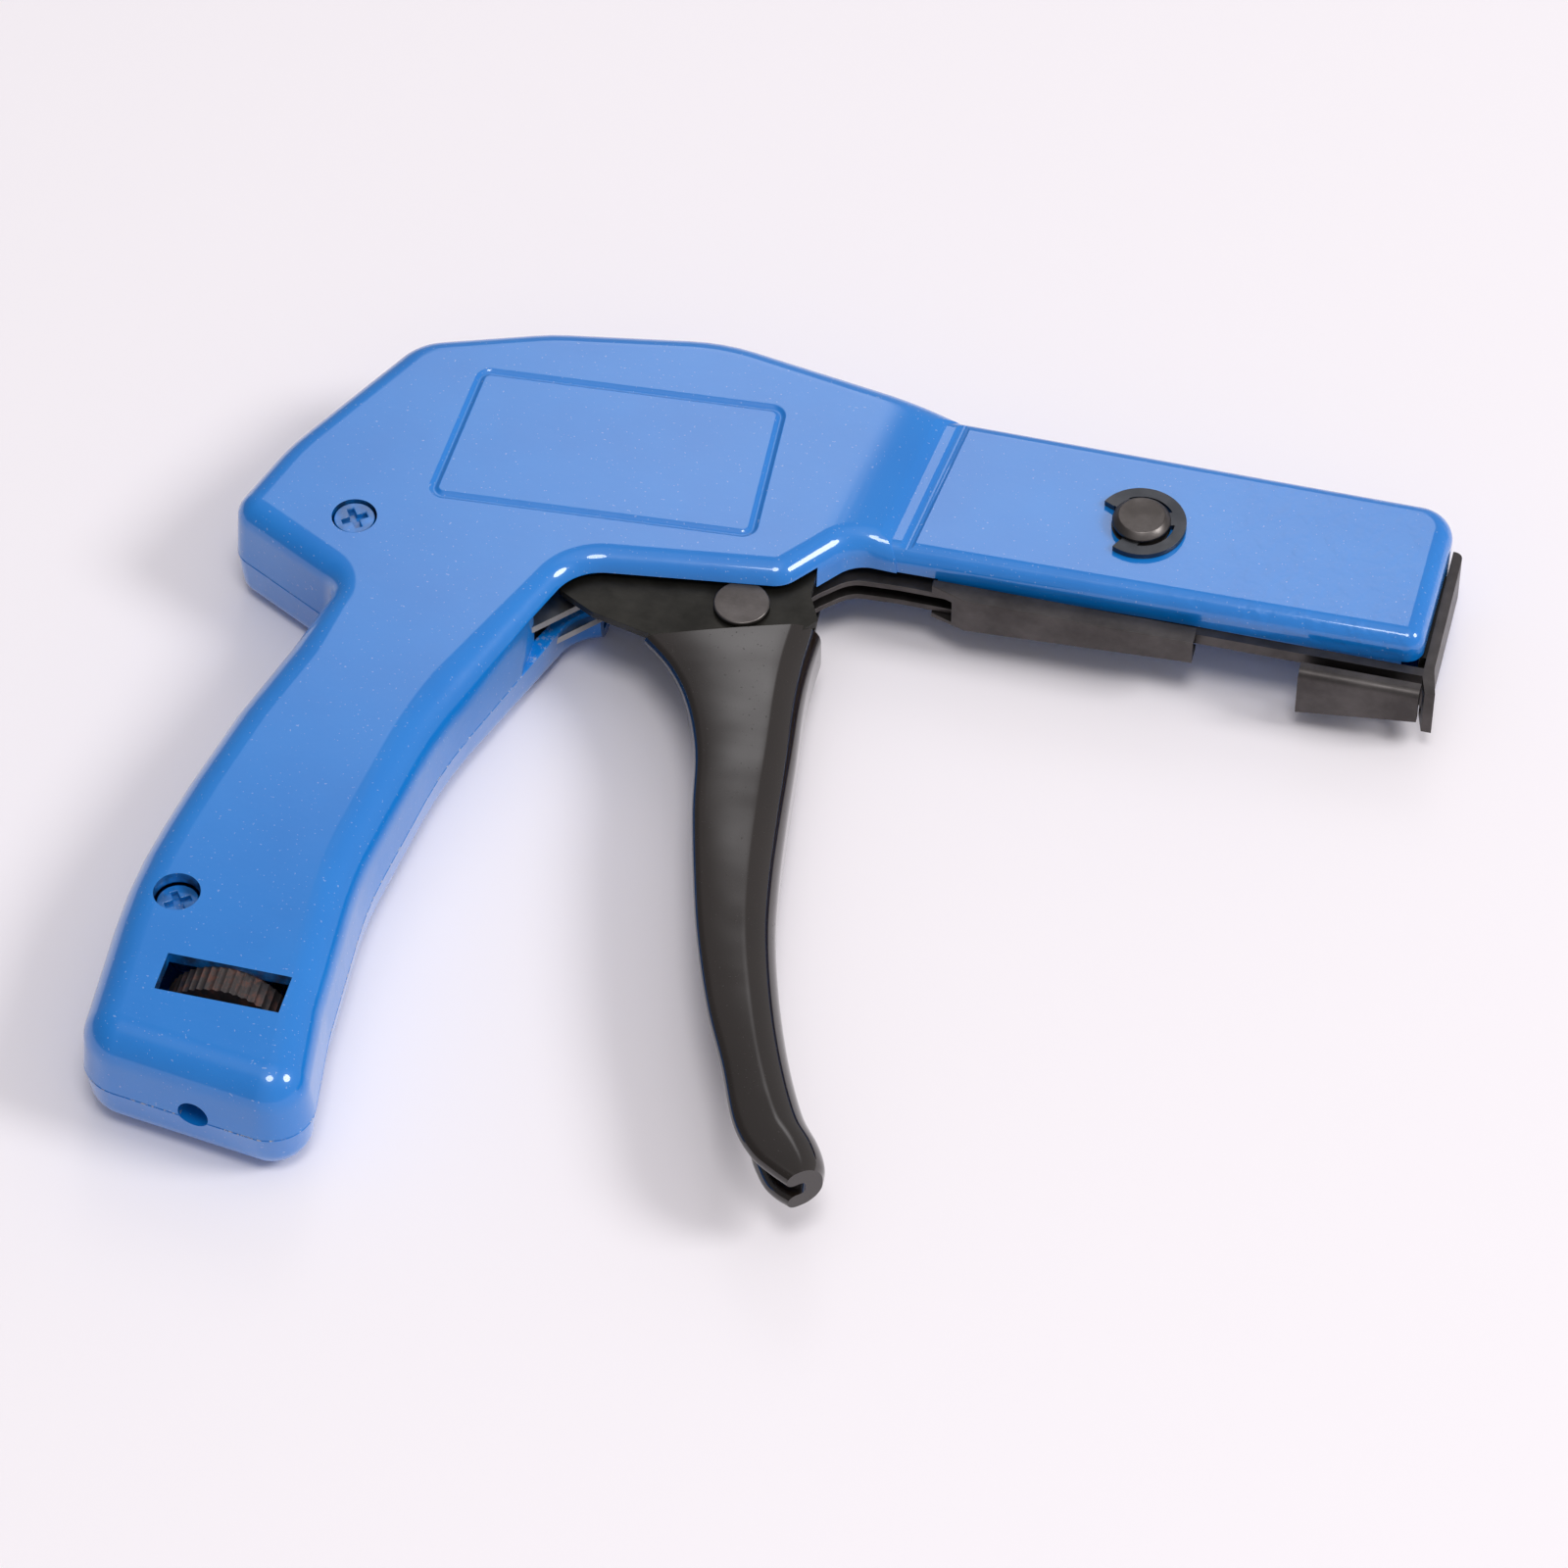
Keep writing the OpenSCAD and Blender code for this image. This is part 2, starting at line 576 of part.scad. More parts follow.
// The coat all round that channel, with a hair's room, closed over its far end
coat_fit = 0.02;
module coat_sweep() {
    inner = [for (s = grip_stations) station_ring(s, coat_fit)];
    outer = concat([for (s = grip_stations) station_ring(s, coat_t)],
        [station_ring(tip_station, coat_t)]);
    n = len(inner[0]);
    in_n = len(inner);
    out_n = len(outer);
    shift = out_n * n;
    lip_ring = [for (i = [0:n - 1])
        let (a = i, b = (i + 1) % n)
        each [[a, a + shift, b], [b, a + shift, b + shift]]];
    polyhedron(concat([for (ring = outer) each ring], [for (ring = inner) each ring]),
        concat(ring_sides(n, out_n), flipped(ring_cap(n), (out_n - 1) * n), lip_ring,
            flipped(ring_sides(n, in_n), shift), [for (f = ring_cap(n))
                [f[0] + shift + (in_n - 1) * n, f[1] + shift + (in_n - 1) * n,
                    f[2] + shift + (in_n - 1) * n]]));
}
last_station = grip_stations[len(grip_stations) - 1];
// The coat pools between the walls at the tip and closes the channel
plug_len = 4;
module tip_plug() {
    s = last_station;
    web = [s[0], s[1]];
    lip = [s[2], s[3]];
    before = grip_stations[len(grip_stations) - 2];
    along = unit([before[2], before[3]] - lip);
    start = web + unit(lip - web) * (1.5 * coat_t + trigger_sheet);
    plate(ear_low_z + s[4] * trigger_w + trigger_sheet + coat_t / 2,
        ear_top_z - trigger_sheet - coat_t / 2)
        polygon([start, start + along * plug_len / 2, lip + along * plug_len - (lip - web) * 0.1,
            lip - (lip - web) * 0.1, [tip_station[2], tip_station[3]],
            lerp([tip_station[0], tip_station[1]], [tip_station[2], tip_station[3]], 0.3)]);
}
// Ears: shares of the rivet's drop, for the part of the outline round the tail and neck
ear_back_x = -26.2;
ear_corners = [
    [ear_back_x, -1.12 * rivet_drop, 1.2, 0],
    [0.74 * ear_back_x, -1.32 * rivet_drop, 3, 0],
    [0.425 * ear_back_x, -1.425 * rivet_drop, 0.5, 0],
    [0.31 * ear_back_x, -1.49 * rivet_drop, 0.5, 0],
    [-0.32 * ear_back_x, -1.17 * rivet_drop, 0.5, 0],
    [-0.405 * ear_back_x, -1.0 * rivet_drop, 0.8, 0],
    [-0.33 * ear_back_x, -0.78 * rivet_drop, 2, 0],
    [-0.28 * ear_back_x, 0.3 * rivet_drop, 0.3 * rivet_drop, 0],
    [0.28 * ear_back_x, 0.36 * rivet_drop, 0.3 * rivet_drop, 0],
    [0.36 * ear_back_x, -0.4 * rivet_drop, 4, 0],
    [0.62 * ear_back_x, -0.82 * rivet_drop, 8, 0],
];
ear_outline = rounded_outline(ear_corners);
// The far ear has no tail
far_ear_corners = [
    [0.16 * ear_back_x, -1.15 * rivet_drop, 1.5, 0],
    [0.08 * ear_back_x, -1.32 * rivet_drop, 0.5, 0],
    [-0.32 * ear_back_x, -1.17 * rivet_drop, 0.5, 0],
    [-0.405 * ear_back_x, -1.0 * rivet_drop, 0.8, 0],
    [-0.33 * ear_back_x, -0.78 * rivet_drop, 2, 0],
    [-0.28 * ear_back_x, 0.3 * rivet_drop, 0.3 * rivet_drop, 0],
    [0.28 * ear_back_x, 0.3 * rivet_drop, 0.3 * rivet_drop, 0],
    [0.19 * ear_back_x, -0.8 * rivet_drop, 3, 0],
];
ear_slack = 0.04;
module trigger_lever() {
    color(black_steel) difference() {
        union() {
            plate(ear_top_z - trigger_sheet + ear_slack, ear_top_z - ear_slack)
                flat_outline(ear_outline);
            plate(ear_low_z + ear_slack, ear_low_z + trigger_sheet - ear_slack)
                flat_outline(rounded_outline(far_ear_corners));
            channel_sweep();
        }
        bar(pivot_d + 2 * run_gap, 0, body_t);
        translate(rivet_at) bar(rivet_d + 2 * run_gap, 0, body_t);
    }
}
module trigger_grip() {
    color(coat_black) {
        coat_sweep();
        tip_plug();
    }
}
bush_d = 7.2;
module trigger_pivot_pin() {
    color(bright_steel) bar(pivot_d, pivot_low_z, pivot_top_z);
}
module trigger_bush() {
    color(bright_steel) difference() {
        bar(bush_d, ear_low_z + trigger_sheet + run_gap, ear_top_z - trigger_sheet - run_gap);
        bar(pivot_d + 2 * run_gap, 0, body_t);
    }
}
// Coil round the bush, between the ears
coil_wire = 0.8;
coil_curls = 5;
coil_gap = 0.45;
trigger_coil_r = (bush_d / 2 + coil_wire / 2 + pass_gap / 3) / cos(180 / coil_steps);
module trigger_spring() {
    color(bright_steel)
        translate([0, 0, mid_z - coil_curls * (coil_wire + coil_gap) / 2])
            tube_along(coil_path(trigger_coil_r, coil_wire + coil_gap, coil_curls, coil_wire),
                coil_wire / 2);
}

// Link rivet through both ears, with a low head on each side
rivet_d = 5;
rivet_head_h = 0.75;
link_w = 3.6;
link_sheet = 0.9;
link_half = link_w / 2;
module link_rivet() {
    color(black_steel) translate(rivet_at) {
        bar(rivet_d, ear_low_z - run_gap, ear_top_z + run_gap);
        bar(rivet_head_d, ear_top_z + run_gap, ear_top_z + run_gap + rivet_head_h);
        bar(rivet_head_d, ear_low_z - run_gap - rivet_head_h, ear_low_z - run_gap);
    }
}
module link_spacers() {
    color(bright_steel) translate(rivet_at) for (span = [
            [ear_low_z + trigger_sheet + run_gap, mid_z - link_half - run_gap],
            [mid_z + link_half + run_gap, ear_top_z - trigger_sheet - run_gap]])
        difference() {
            bar(bush_d, span[0], span[1]);
            bar(rivet_d + 2 * run_gap, 0, body_t);
        }
}
// Pull link: two walls and a web on the upper side, arched over the trigger's neck
eye_r = 3;
carriage_pin_d = 2.6;
carriage_pin_at = [carriage_x + 3.9, -0.64 * barrel_drop];
open_pivot_gap = 0.65;
link_span = carriage_pin_at - rivet_at;
// Corners as shares of the span from the rivet to the carriage pin, with radii in eyes
link_corner_shares = [
    [0.14, -0.10, 0.8], [0.300, 0.500, 2], [0.450, 0.775, 1.6], [0.700, 0.800, 1.2],
    [1.105, 0.795, 0.9], [1.105, 1.205, 0.9], [0.600, 1.120, 1.6], [0.290, 0.750, 1.4],
    [-0.02, 0.450, 1.4], [-0.150, 0.05, 0.8],
];
link_outline = rounded_outline([for (c = link_corner_shares)
    [rivet_at[0] + c[0] * link_span[0], rivet_at[1] + c[1] * link_span[1], c[2] * eye_r, 0]]);
module link_side() {
    flat_outline(link_outline);
    translate(rivet_at) circle(d = bush_d);
}
// The web follows the upper edge
module link_web() {
    difference() {
        flat_outline(link_outline);
        translate([0, -1.2 * link_sheet]) flat_outline(link_outline);
    }
}
module pull_link() {
    color(black_steel) difference() {
        union() {
            plate(mid_z - link_half, mid_z - link_half + link_sheet) link_side();
            plate(mid_z + link_half - link_sheet, mid_z + link_half) link_side();
            intersection() {
                plate(mid_z - link_half, mid_z + link_half) link_web();
                translate([bush_d / 2 + over, -0.4 * body_rise, 0])
                    cube([carriage_x - 2 * over - bush_d / 2 - over, body_rise, body_t]);
            }
        }
        translate(rivet_at) bar(rivet_d + 2 * run_gap, 0, body_t);
        translate(carriage_pin_at) bar(carriage_pin_d + 2 * open_pivot_gap, 0, body_t);
    }
}

// Gripper carriage: a channel round the rail that narrows forward, with two lugs behind the rail
rail_low_z = mid_z + 0.7;
rail_top_z = rail_low_z + rail_w;
guide_reach = 16.1;
guide_x = barrel_reach - guide_reach;
carriage_len = guide_x - grip_gap - carriage_x;
lug_gap = 0.15;
lug_t = 0.5;
carriage_sheet = 0.7;
carriage_near_z = rail_top_z + pass_gap + carriage_sheet;
carriage_far_z = mid_z - 2.8;
carriage_narrow = 2.3;
carriage_top_y = -rail_drop + pass_gap;
carriage_low_y = -rail_drop - carriage_h;
lug_half = link_half + lug_gap + lug_t;
lug_len = 7;
bevel_len = 5;
// Plan of the channel in X and Z, drawn in by a wall
module channel_plan(x0, x1, in) {
    rise = carriage_narrow / carriage_len;
    rotate([90, 0, 0]) linear_extrude(body_rise, center = true)
        polygon([[x0, carriage_far_z + in + rise * (x0 - carriage_x)],
            [x1, carriage_far_z + in + rise * (x1 - carriage_x)],
            [x1, carriage_near_z - in], [x0, carriage_near_z - in]]);
}
module gripper_carriage() {
    end_x = carriage_x + carriage_len;
    color(black_steel) difference() {
        union() {
            intersection() {
                channel_plan(carriage_x, end_x, 0);
                plate(0, body_t)
                    polygon([[carriage_x, carriage_top_y],
                        [carriage_x, -rail_drop - carriage_h / 3],
                        [carriage_x + bevel_len, carriage_low_y], [end_x, carriage_low_y],
                        [end_x, carriage_top_y]]);
            }
            plate(mid_z - lug_half, mid_z + lug_half)
                polygon([[carriage_x, carriage_top_y - over / 2],
                    [carriage_x, carriage_pin_at[1]],
                    carriage_pin_at + [-eye_r / 2, eye_r - pass_gap],
                    carriage_pin_at + [eye_r / 2, eye_r - pass_gap],
                    [carriage_x + lug_len, carriage_pin_at[1]],
                    [carriage_x + lug_len, carriage_top_y - over / 2]]);
        }
        // room for the rail, from the lugs forward
        intersection() {
            channel_plan(carriage_x + lug_len, end_x + over, carriage_sheet);
            translate([carriage_x, carriage_low_y + carriage_sheet, 0])
                cube([2 * carriage_len, body_rise, body_t]);
        }
        // room for the link between the lugs
        plate(mid_z - lug_half + lug_t, mid_z + lug_half - lug_t)
            translate([carriage_x - over, carriage_low_y + carriage_sheet])
                square([lug_len + 2 * over, body_rise]);
        translate(carriage_pin_at) bar(carriage_pin_d + 2 * run_gap, 0, body_t);
    }
}
module carriage_pin() {
    color(bright_steel) translate(carriage_pin_at)
        bar(carriage_pin_d, mid_z - lug_half, mid_z + lug_half);
}
// Slide inside the barrel, on the rail, pulled by the same pin
slide_w = 2.8;
tongue_w = 1.5;
rail_top_y = -rail_drop + rail_t;
slide_h = 4.9;
slide_gap = 1.2;
slide_x = carriage_x + lug_len + slide_gap;
slide_inset = 1;
slide_end_x = carriage_x + carriage_len - slide_inset;
pawl_back = 9;
pawl_at = [slide_end_x - pawl_back, rail_top_y + 0.55 * slide_h];
pawl_pin_d = 2;
pawl_t = 1.4;
pawl_mid_z = mid_z - 0.3;
pawl_len = 7.6;
module gripper_slide() {
    color(black_steel) difference() {
        union() {
            plate(mid_z - slide_w / 2, mid_z + slide_w / 2)
                translate([slide_x, rail_top_y + run_gap])
                    square([slide_end_x - slide_x, slide_h - run_gap]);
            plate(mid_z - tongue_w / 2, mid_z + tongue_w / 2) {
                translate(carriage_pin_at) circle(r = 2.1);
                translate(carriage_pin_at + [0, -0.3]) square([slide_x - carriage_pin_at[0] + over, 2.4]);
            }
        }
        translate(carriage_pin_at) bar(carriage_pin_d + 2 * run_gap, 0, body_t);
        // fork for the pawl
        plate(pawl_mid_z - pawl_t / 2 - lug_gap, pawl_mid_z + pawl_t / 2 + lug_gap)
            translate([pawl_at[0] - 3, rail_top_y - over])
                square([slide_end_x - pawl_at[0] + 3 + over, slide_h + 2 * over]);
        translate(pawl_at) bar(pawl_pin_d + 2 * run_gap, 0, body_t);
    }
}
// Toothed pawl that bites the tie through the slot in the rail
tooth_count = 5;
tooth_h = 0.5;
pawl_tip_y = -rail_drop + 0.6;
module gripper_pawl() {
    tip_x = pawl_at[0] + pawl_len;
    color(bright_steel) difference() {
        plate(pawl_mid_z - pawl_t / 2, pawl_mid_z + pawl_t / 2) union() {
            translate(pawl_at) circle(r = 2);
            polygon(concat(
                [pawl_at + [0, 2], pawl_at + [-0.6, -1.8]],
                [for (i = [0:tooth_count - 1]) each [
                    [lerp(pawl_at[0] + 2.2, tip_x, i / tooth_count), pawl_tip_y + tooth_h],
                    [lerp(pawl_at[0] + 2.2, tip_x, (i + 0.9) / tooth_count), pawl_tip_y]]],
                [[tip_x, pawl_tip_y + 3 * tooth_h], pawl_at + [3, 1.4]]));
        }
        translate(pawl_at) bar(pawl_pin_d + 2 * run_gap, 0, body_t);
    }
}
module pawl_pin() {
    color(bright_steel) translate(pawl_at)
        bar(pawl_pin_d, mid_z - slide_w / 2 - 0.1, mid_z + slide_w / 2 + 0.1);
}
// Leaf spring on the slide that presses the pawl down
leaf_t = 0.4;
leaf_root = 8;
leaf_bend = 2;
leaf_tip = [3.4, 2.0];
module pawl_spring() {
    y = rail_top_y + slide_h;
    color(bright_steel) plate(pawl_mid_z - pawl_t / 2, pawl_mid_z + pawl_t / 2)
        polygon([[pawl_at[0] - leaf_root, y + run_gap], [pawl_at[0] - leaf_bend, y + run_gap],
            pawl_at + leaf_tip, pawl_at + leaf_tip + [0.75, 1] * leaf_t,
            [pawl_at[0] - leaf_bend, y + run_gap + leaf_t],
            [pawl_at[0] - leaf_root, y + run_gap + leaf_t]]);
}

// Nose frame: one folded plate with the rail, the front plate and a side plate at each side of
// the cut-off lever
rail_x = carriage_x + lug_len + 0.6;
front_x = barrel_reach + pass_gap / 2;
front_t = rail_t;
front_top_y = 17.4;
front_low_y = -8.8;
front_lean = 0.9;
front_depth = 5.2;
front_low_z = mid_z - front_depth;
front_top_z = mid_z + 2.6;
cheek_t = 0.7;
cheek_ring = 0.8;
cheek_w = 14;
side_low_y = 4;
side_top_y = 14;
blade_t = 1;
blade_x = front_x - blade_t - run_gap;
blade_low_z = front_low_z + cheek_t + 0.6;
blade_edge_z = rail_low_z - 0.2;
blade_wide_rise = 2.2;
blade_wide_z = mid_z + blade_wide_rise;
blade_stroke = 1.8;
blade_low_y = -rail_drop + 0.35;
blade_wide_y = -rail_drop + rail_t + blade_stroke + 0.3;
blade_top_y = 13;
module nose_frame() {
    color(black_steel) difference() {
        union() {
            // front plate, whose lower end leans forward
            plate(front_low_z, front_top_z)
                flat_outline(rounded_outline([
                    [front_x, front_top_y, 0, 0],
                    [front_x, -rail_drop, front_t, 0],
                    [front_x + front_lean, front_low_y, 0, 0],
                    [front_x + front_lean + front_t, front_low_y, 0, 0],
                    [front_x + front_t, -rail_drop + rail_t, 2 * front_t, 0],
                    [front_x + front_t, front_top_y, 0.8 * front_t, 0]]));
            // rail
            translate([rail_x, -rail_drop, rail_low_z])
                cube([front_x + front_t / 2 - rail_x, rail_t, rail_w]);
            // near cheek from the rail to the pivot
            plate(rail_top_z - cheek_t, rail_top_z) hull() {
                translate([cutoff_x - cheek_w / 2, -rail_drop + rail_t / 2])
                    square([cheek_w, rail_t / 2]);
                translate(cutoff_at) circle(d = cutoff_pin_d + 2 * cheek_ring, $fn = 32);
            }
            // far side plate from the front plate to the pivot
            plate(front_low_z + pass_gap, front_low_z + pass_gap + cheek_t) {
                translate([cutoff_x, side_low_y])
                    square([front_x + front_t / 2 - cutoff_x, side_top_y - side_low_y]);
                translate(cutoff_at) circle(d = cutoff_pin_d + 2 * cheek_ring);
            }
        }
        // tie slot in the front plate
        translate([front_x - over, -rail_drop - slot_h, rail_low_z - pass_gap / 2 - slot_w])
            cube([front_t + front_lean + 2 * over, slot_h, slot_w]);
        translate(cutoff_at) bar(cutoff_pin_d + 2 * run_gap, 0, body_t);
    }
}
// Tie guide: a folded sheet whose top flange lies beside the rail and whose near edge is rolled
guide_t = 1;
guide_end_x = front_x + 0.2;
guide_low_y = -9.5;
guide_lip_y = -rail_drop - slot_h;
guide_far_z = front_low_z;
guide_narrow = 2.4;
guide_r = 1.3;
guide_wall_len = 13;
module guide_plan(x1, in, near_z) {
    rise = guide_narrow / (guide_end_x - guide_x);
    rotate([90, 0, 0]) linear_extrude(body_rise, center = true)
        polygon([[guide_x, guide_far_z + in], [x1, guide_far_z + in + rise * (x1 - guide_x)],
            [x1, near_z], [guide_x, near_z]]);
}
module slab_y(y0, y1) {
    translate([0, y0, 0]) cube([2 * barrel_reach, y1 - y0, body_t]);
}
module tie_guide() {
    wall_end_x = guide_x + guide_wall_len;
    color(black_steel) {
        // web
        intersection() {
            guide_plan(guide_end_x, 0, front_top_z - guide_r);
            slab_y(guide_low_y, guide_low_y + guide_t);
        }
        // far wall
        intersection() {
            difference() {
                guide_plan(wall_end_x, 0, mid_z);
                guide_plan(wall_end_x + over, guide_t, mid_z + over);
            }
            slab_y(guide_low_y, -rail_drop + guide_t);
        }
        // top flange beside the rail
        intersection() {
            guide_plan(wall_end_x, 0, rail_low_z - run_gap);
            slab_y(-rail_drop, -rail_drop + guide_t);
        }
        // rolled near edge
        translate([guide_x, 0, 0]) rotate([90, 0, 90]) linear_extrude(guide_end_x - guide_x)
            difference() {
                translate([guide_low_y + guide_r, front_top_z - guide_r]) union() {
                    circle(r = guide_r);
                    square([guide_lip_y - guide_low_y - guide_r, guide_r]);
                }
                translate([guide_low_y + guide_r, front_top_z - guide_r])
                    circle(r = guide_r - guide_t);
                translate([guide_low_y + guide_r, front_top_z - 2 * guide_r])
                    square([2 * guide_r, 2 * guide_r - guide_t]);
            }
    }
}

// Cut-off: a lever on the pivot pin, whose front tip works the blade
tip_r = 1.5;
blade_eye_y = 7.2;
tongue_len = 5;
tongue_half = 1.3;
lever_tip = [blade_x + blade_t - tip_r, blade_eye_y];
strip_top_at = [-11, -5];
strip_w = 5;
lever_corners = [
    [cutoff_x, cutoff_y - 0.66 * cutoff_pin_d, 0.75 * cutoff_pin_d, 0],
    [lever_tip[0] - tongue_len, blade_eye_y - 0.44 * tongue_len, 0.4 * tongue_len, 0],
    [lever_tip[0] - 0.6 * tongue_len, blade_eye_y + 0.44 * tongue_len, 0.4 * tongue_len, 0],
    [1.08 * cutoff_x, cutoff_y + 0.84 * cutoff_pin_d, cutoff_pin_d, 0],
    [-0.08 * cutoff_x, 0.53 * body_rise, 0.35 * body_rise, 0],
    [-0.275 * cutoff_x, 0.32 * body_rise, 0.21 * body_rise, 0],
    [strip_top_at[0] - 0.56 * strip_w, strip_top_at[1] - 0.52 * strip_w, 0.48 * strip_w, 0],
    [strip_top_at[0] + 0.58 * strip_w, strip_top_at[1] - 0.52 * strip_w, 0.48 * strip_w, 0],
    [strip_top_at[0] + 0.58 * strip_w, 0.155 * body_rise, 0.6 * strip_w, 0],
    [0, 0.297 * body_rise, 0.8 * strip_w, 0],
];
module cutoff_lever() {
    color(black_steel) difference() {
        plate(mid_z - lever_t / 2, mid_z + lever_t / 2) union() {
            flat_outline(rounded_outline(lever_corners));
            translate([lever_tip[0] - tongue_len, blade_eye_y - tongue_half])
                square([tongue_len, 2 * tongue_half]);
            translate(lever_tip) circle(r = tip_r, $fn = 32);
        }
        translate(cutoff_at) bar(cutoff_pin_d + 2 * run_gap, 0, body_t);
        translate(strip_top_at) bar(strip_pin_d + 2 * run_gap, 0, body_t);
    }
}
module cutter_blade() {
    color(bright_steel) difference() {
        union() {
            translate([blade_x, blade_low_y, blade_low_z])
                cube([blade_t, blade_top_y - blade_low_y, blade_edge_z - blade_low_z]);
            translate([blade_x, blade_wide_y, blade_low_z])
                cube([blade_t, blade_top_y - blade_wide_y, blade_wide_z - blade_low_z]);
        }
        // bevelled cutting edge
        translate([blade_x, blade_low_y, 0])
            rotate([0, 0, -60]) translate([-2 * blade_t, -2 * blade_t, 0])
                cube([2 * blade_t, 2 * blade_t, body_t]);
        // window for the lever's tip
        translate([blade_x - over, blade_eye_y - tip_r - lug_gap, mid_z - lever_t / 2 - lug_gap])
            cube([blade_t + 2 * over, 2 * (tip_r + lug_gap), lever_t + 2 * lug_gap]);
    }
}
// Pin with a flat head under the barrel and a groove for the clip over it
pin_head_d = 11;
pin_head_h = 1.2;
pin_chamfer = 0.8;
clip_t = 0.9;
clip_groove_d = 6;
clip_z = barrel_top_z + run_gap;
pin_top_z = clip_z + clip_t + 1.2;
module cutoff_pivot_pin() {
    color(black_steel) translate(cutoff_at) difference() {
        union() {
            bar(pin_head_d, barrel_low_z - pin_head_h, barrel_low_z - run_gap);
            bar(cutoff_pin_d, barrel_low_z - pin_head_h, pin_top_z - pin_chamfer);
            translate([0, 0, pin_top_z - pin_chamfer])
                cylinder(d1 = cutoff_pin_d, d2 = cutoff_pin_d - 2 * pin_chamfer, h = pin_chamfer);
        }
        difference() {
            bar(cutoff_pin_d + over, clip_z - run_gap, clip_z + clip_t + run_gap);
            bar(clip_groove_d, 0, body_t + over);
        }
    }
}
// Retaining clip: a ring with a mouth towards the handle and three inner prongs
clip_turn = 19.4;
clip_splay = 0.93;
clip_band = 1.6;
clip_prong_w = 2.4;
module retaining_clip() {
    color(black_steel) translate(cutoff_at) plate(clip_z, clip_z + clip_t) difference() {
        union() {
            difference() {
                circle(d = clip_d);
                circle(d = clip_d - 2 * clip_band);
            }
            for (a = [0, 120, 240]) rotate(clip_turn + a)
                translate([clip_groove_d / 2, -clip_prong_w / 2])
                    square([clip_d / 2 - clip_groove_d / 2 - clip_band / 2, clip_prong_w]);
        }
        circle(d = clip_groove_d + 2 * run_gap);
        rotate(clip_turn)
            polygon([[0, 0], [-clip_d, clip_d * clip_splay], [-clip_d, -clip_d * clip_splay]]);
    }
}
washer_ring = 0.8;
module lever_washers() {
    shell_top = barrel_top_z - wall;
    color(bright_steel) translate(cutoff_at)
        for (span = [[front_low_z + pass_gap + cheek_t + run_gap, mid_z - lever_t / 2 - run_gap],
                [rail_top_z + run_gap, shell_top - run_gap]])
            difference() {
                bar(cutoff_pin_d + 2 * washer_ring, span[0], span[1]);
                bar(cutoff_pin_d + 2 * run_gap, 0, body_t);
            }
}

// Tension strips from the lever's rear arm to the rod's head
strip_rise = 12.2;
strip_bottom_at = [rod_x, stop_y + strip_rise];
strip_t = 1.1;
strip_pin_d = 3;
strip_gap = 0.15;
rod_head_t = lever_t - 0.2;
strip_low_z = mid_z - lever_t / 2 - strip_gap - strip_t;
strip_top_z = mid_z + lever_t / 2 + strip_gap;
module strip_band(w) {
    run = strip_bottom_at - strip_top_at;
    translate(strip_top_at) rotate(atan2(run[1], run[0]))
        translate([0, -w / 2]) square([norm(run), w]);
}
module tension_strips() {
    color(bright_steel) for (z = [strip_low_z, strip_top_z]) difference() {
        plate(z, z + strip_t) {
            strip_band(strip_w);
            translate(strip_top_at) circle(d = strip_w);
            translate(strip_bottom_at) circle(d = strip_w);
        }
        translate(strip_top_at) bar(strip_pin_d + 2 * run_gap, 0, body_t);
        translate(strip_bottom_at) bar(strip_pin_d + 2 * run_gap, 0, body_t);
    }
}
module strip_pin_upper() {
    color(bright_steel) translate(strip_top_at)
        bar(strip_pin_d, strip_low_z - 0.2, strip_top_z + strip_t + 0.2);
}
module strip_pin_lower() {
    color(bright_steel) translate(strip_bottom_at)
        bar(strip_pin_d, strip_low_z - 0.2, strip_top_z + strip_t + 0.2);
}
rod_end_y = guide_rib_y - rib_t;
rod_head_len = 7;
thread_pitch = 1.4;
thread_depth = 0.35;
module tension_rod() {
    head_y = strip_bottom_at[1];
    color(bright_steel) difference() {
        union() {
            plate(mid_z - rod_head_t / 2, mid_z + rod_head_t / 2) {
                translate(strip_bottom_at) circle(d = strip_w + 1);
                translate(strip_bottom_at + [-rod_d / 2, -rod_head_len]) square([rod_d, rod_head_len]);
            }
            translate([rod_x, 0, mid_z]) bar_y(rod_d, rod_end_y, head_y - rod_head_len + over);
        }
        translate(strip_bottom_at) bar(strip_pin_d + 2 * run_gap, 0, body_t);
    }
}
// Stop plate under the rib, and seat on the wheel
module spring_stop() {
    color(bright_steel) translate([rod_x, 0, mid_z]) difference() {
        bar_y(spring_d + 2, stop_y - stop_t, stop_y - run_gap);
        bar_y(rod_d + 2 * run_gap, butt_y, 0);
    }
}
seat_t = 1.2;
seat_low_y = wheel_y + wheel_t / 2 + run_gap;
module spring_seat() {
    color(bright_steel) translate([rod_x, 0, mid_z]) difference() {
        bar_y(spring_d + 1, seat_low_y, seat_low_y + seat_t);
        bar_y(rod_d + 2 * run_gap, butt_y, 0);
    }
}
spring_curls = 9;
spring_low_y = seat_low_y + seat_t + run_gap;
// The rod's travel, by which the spring stands off its stop at rest
rod_travel = 2.3;
spring_top_y = stop_y - stop_t - rod_travel;
spring_pitch = (spring_top_y - spring_low_y - spring_wire) / spring_curls;
module tension_spring() {
    path = coil_path((spring_d - spring_wire) / 2, spring_pitch, spring_curls, spring_wire);
    color(bright_steel)
        translate([rod_x, spring_low_y + spring_wire / 2, mid_z])
            rotate([-90, 0, 0]) tube_along(path, spring_wire / 2);
}
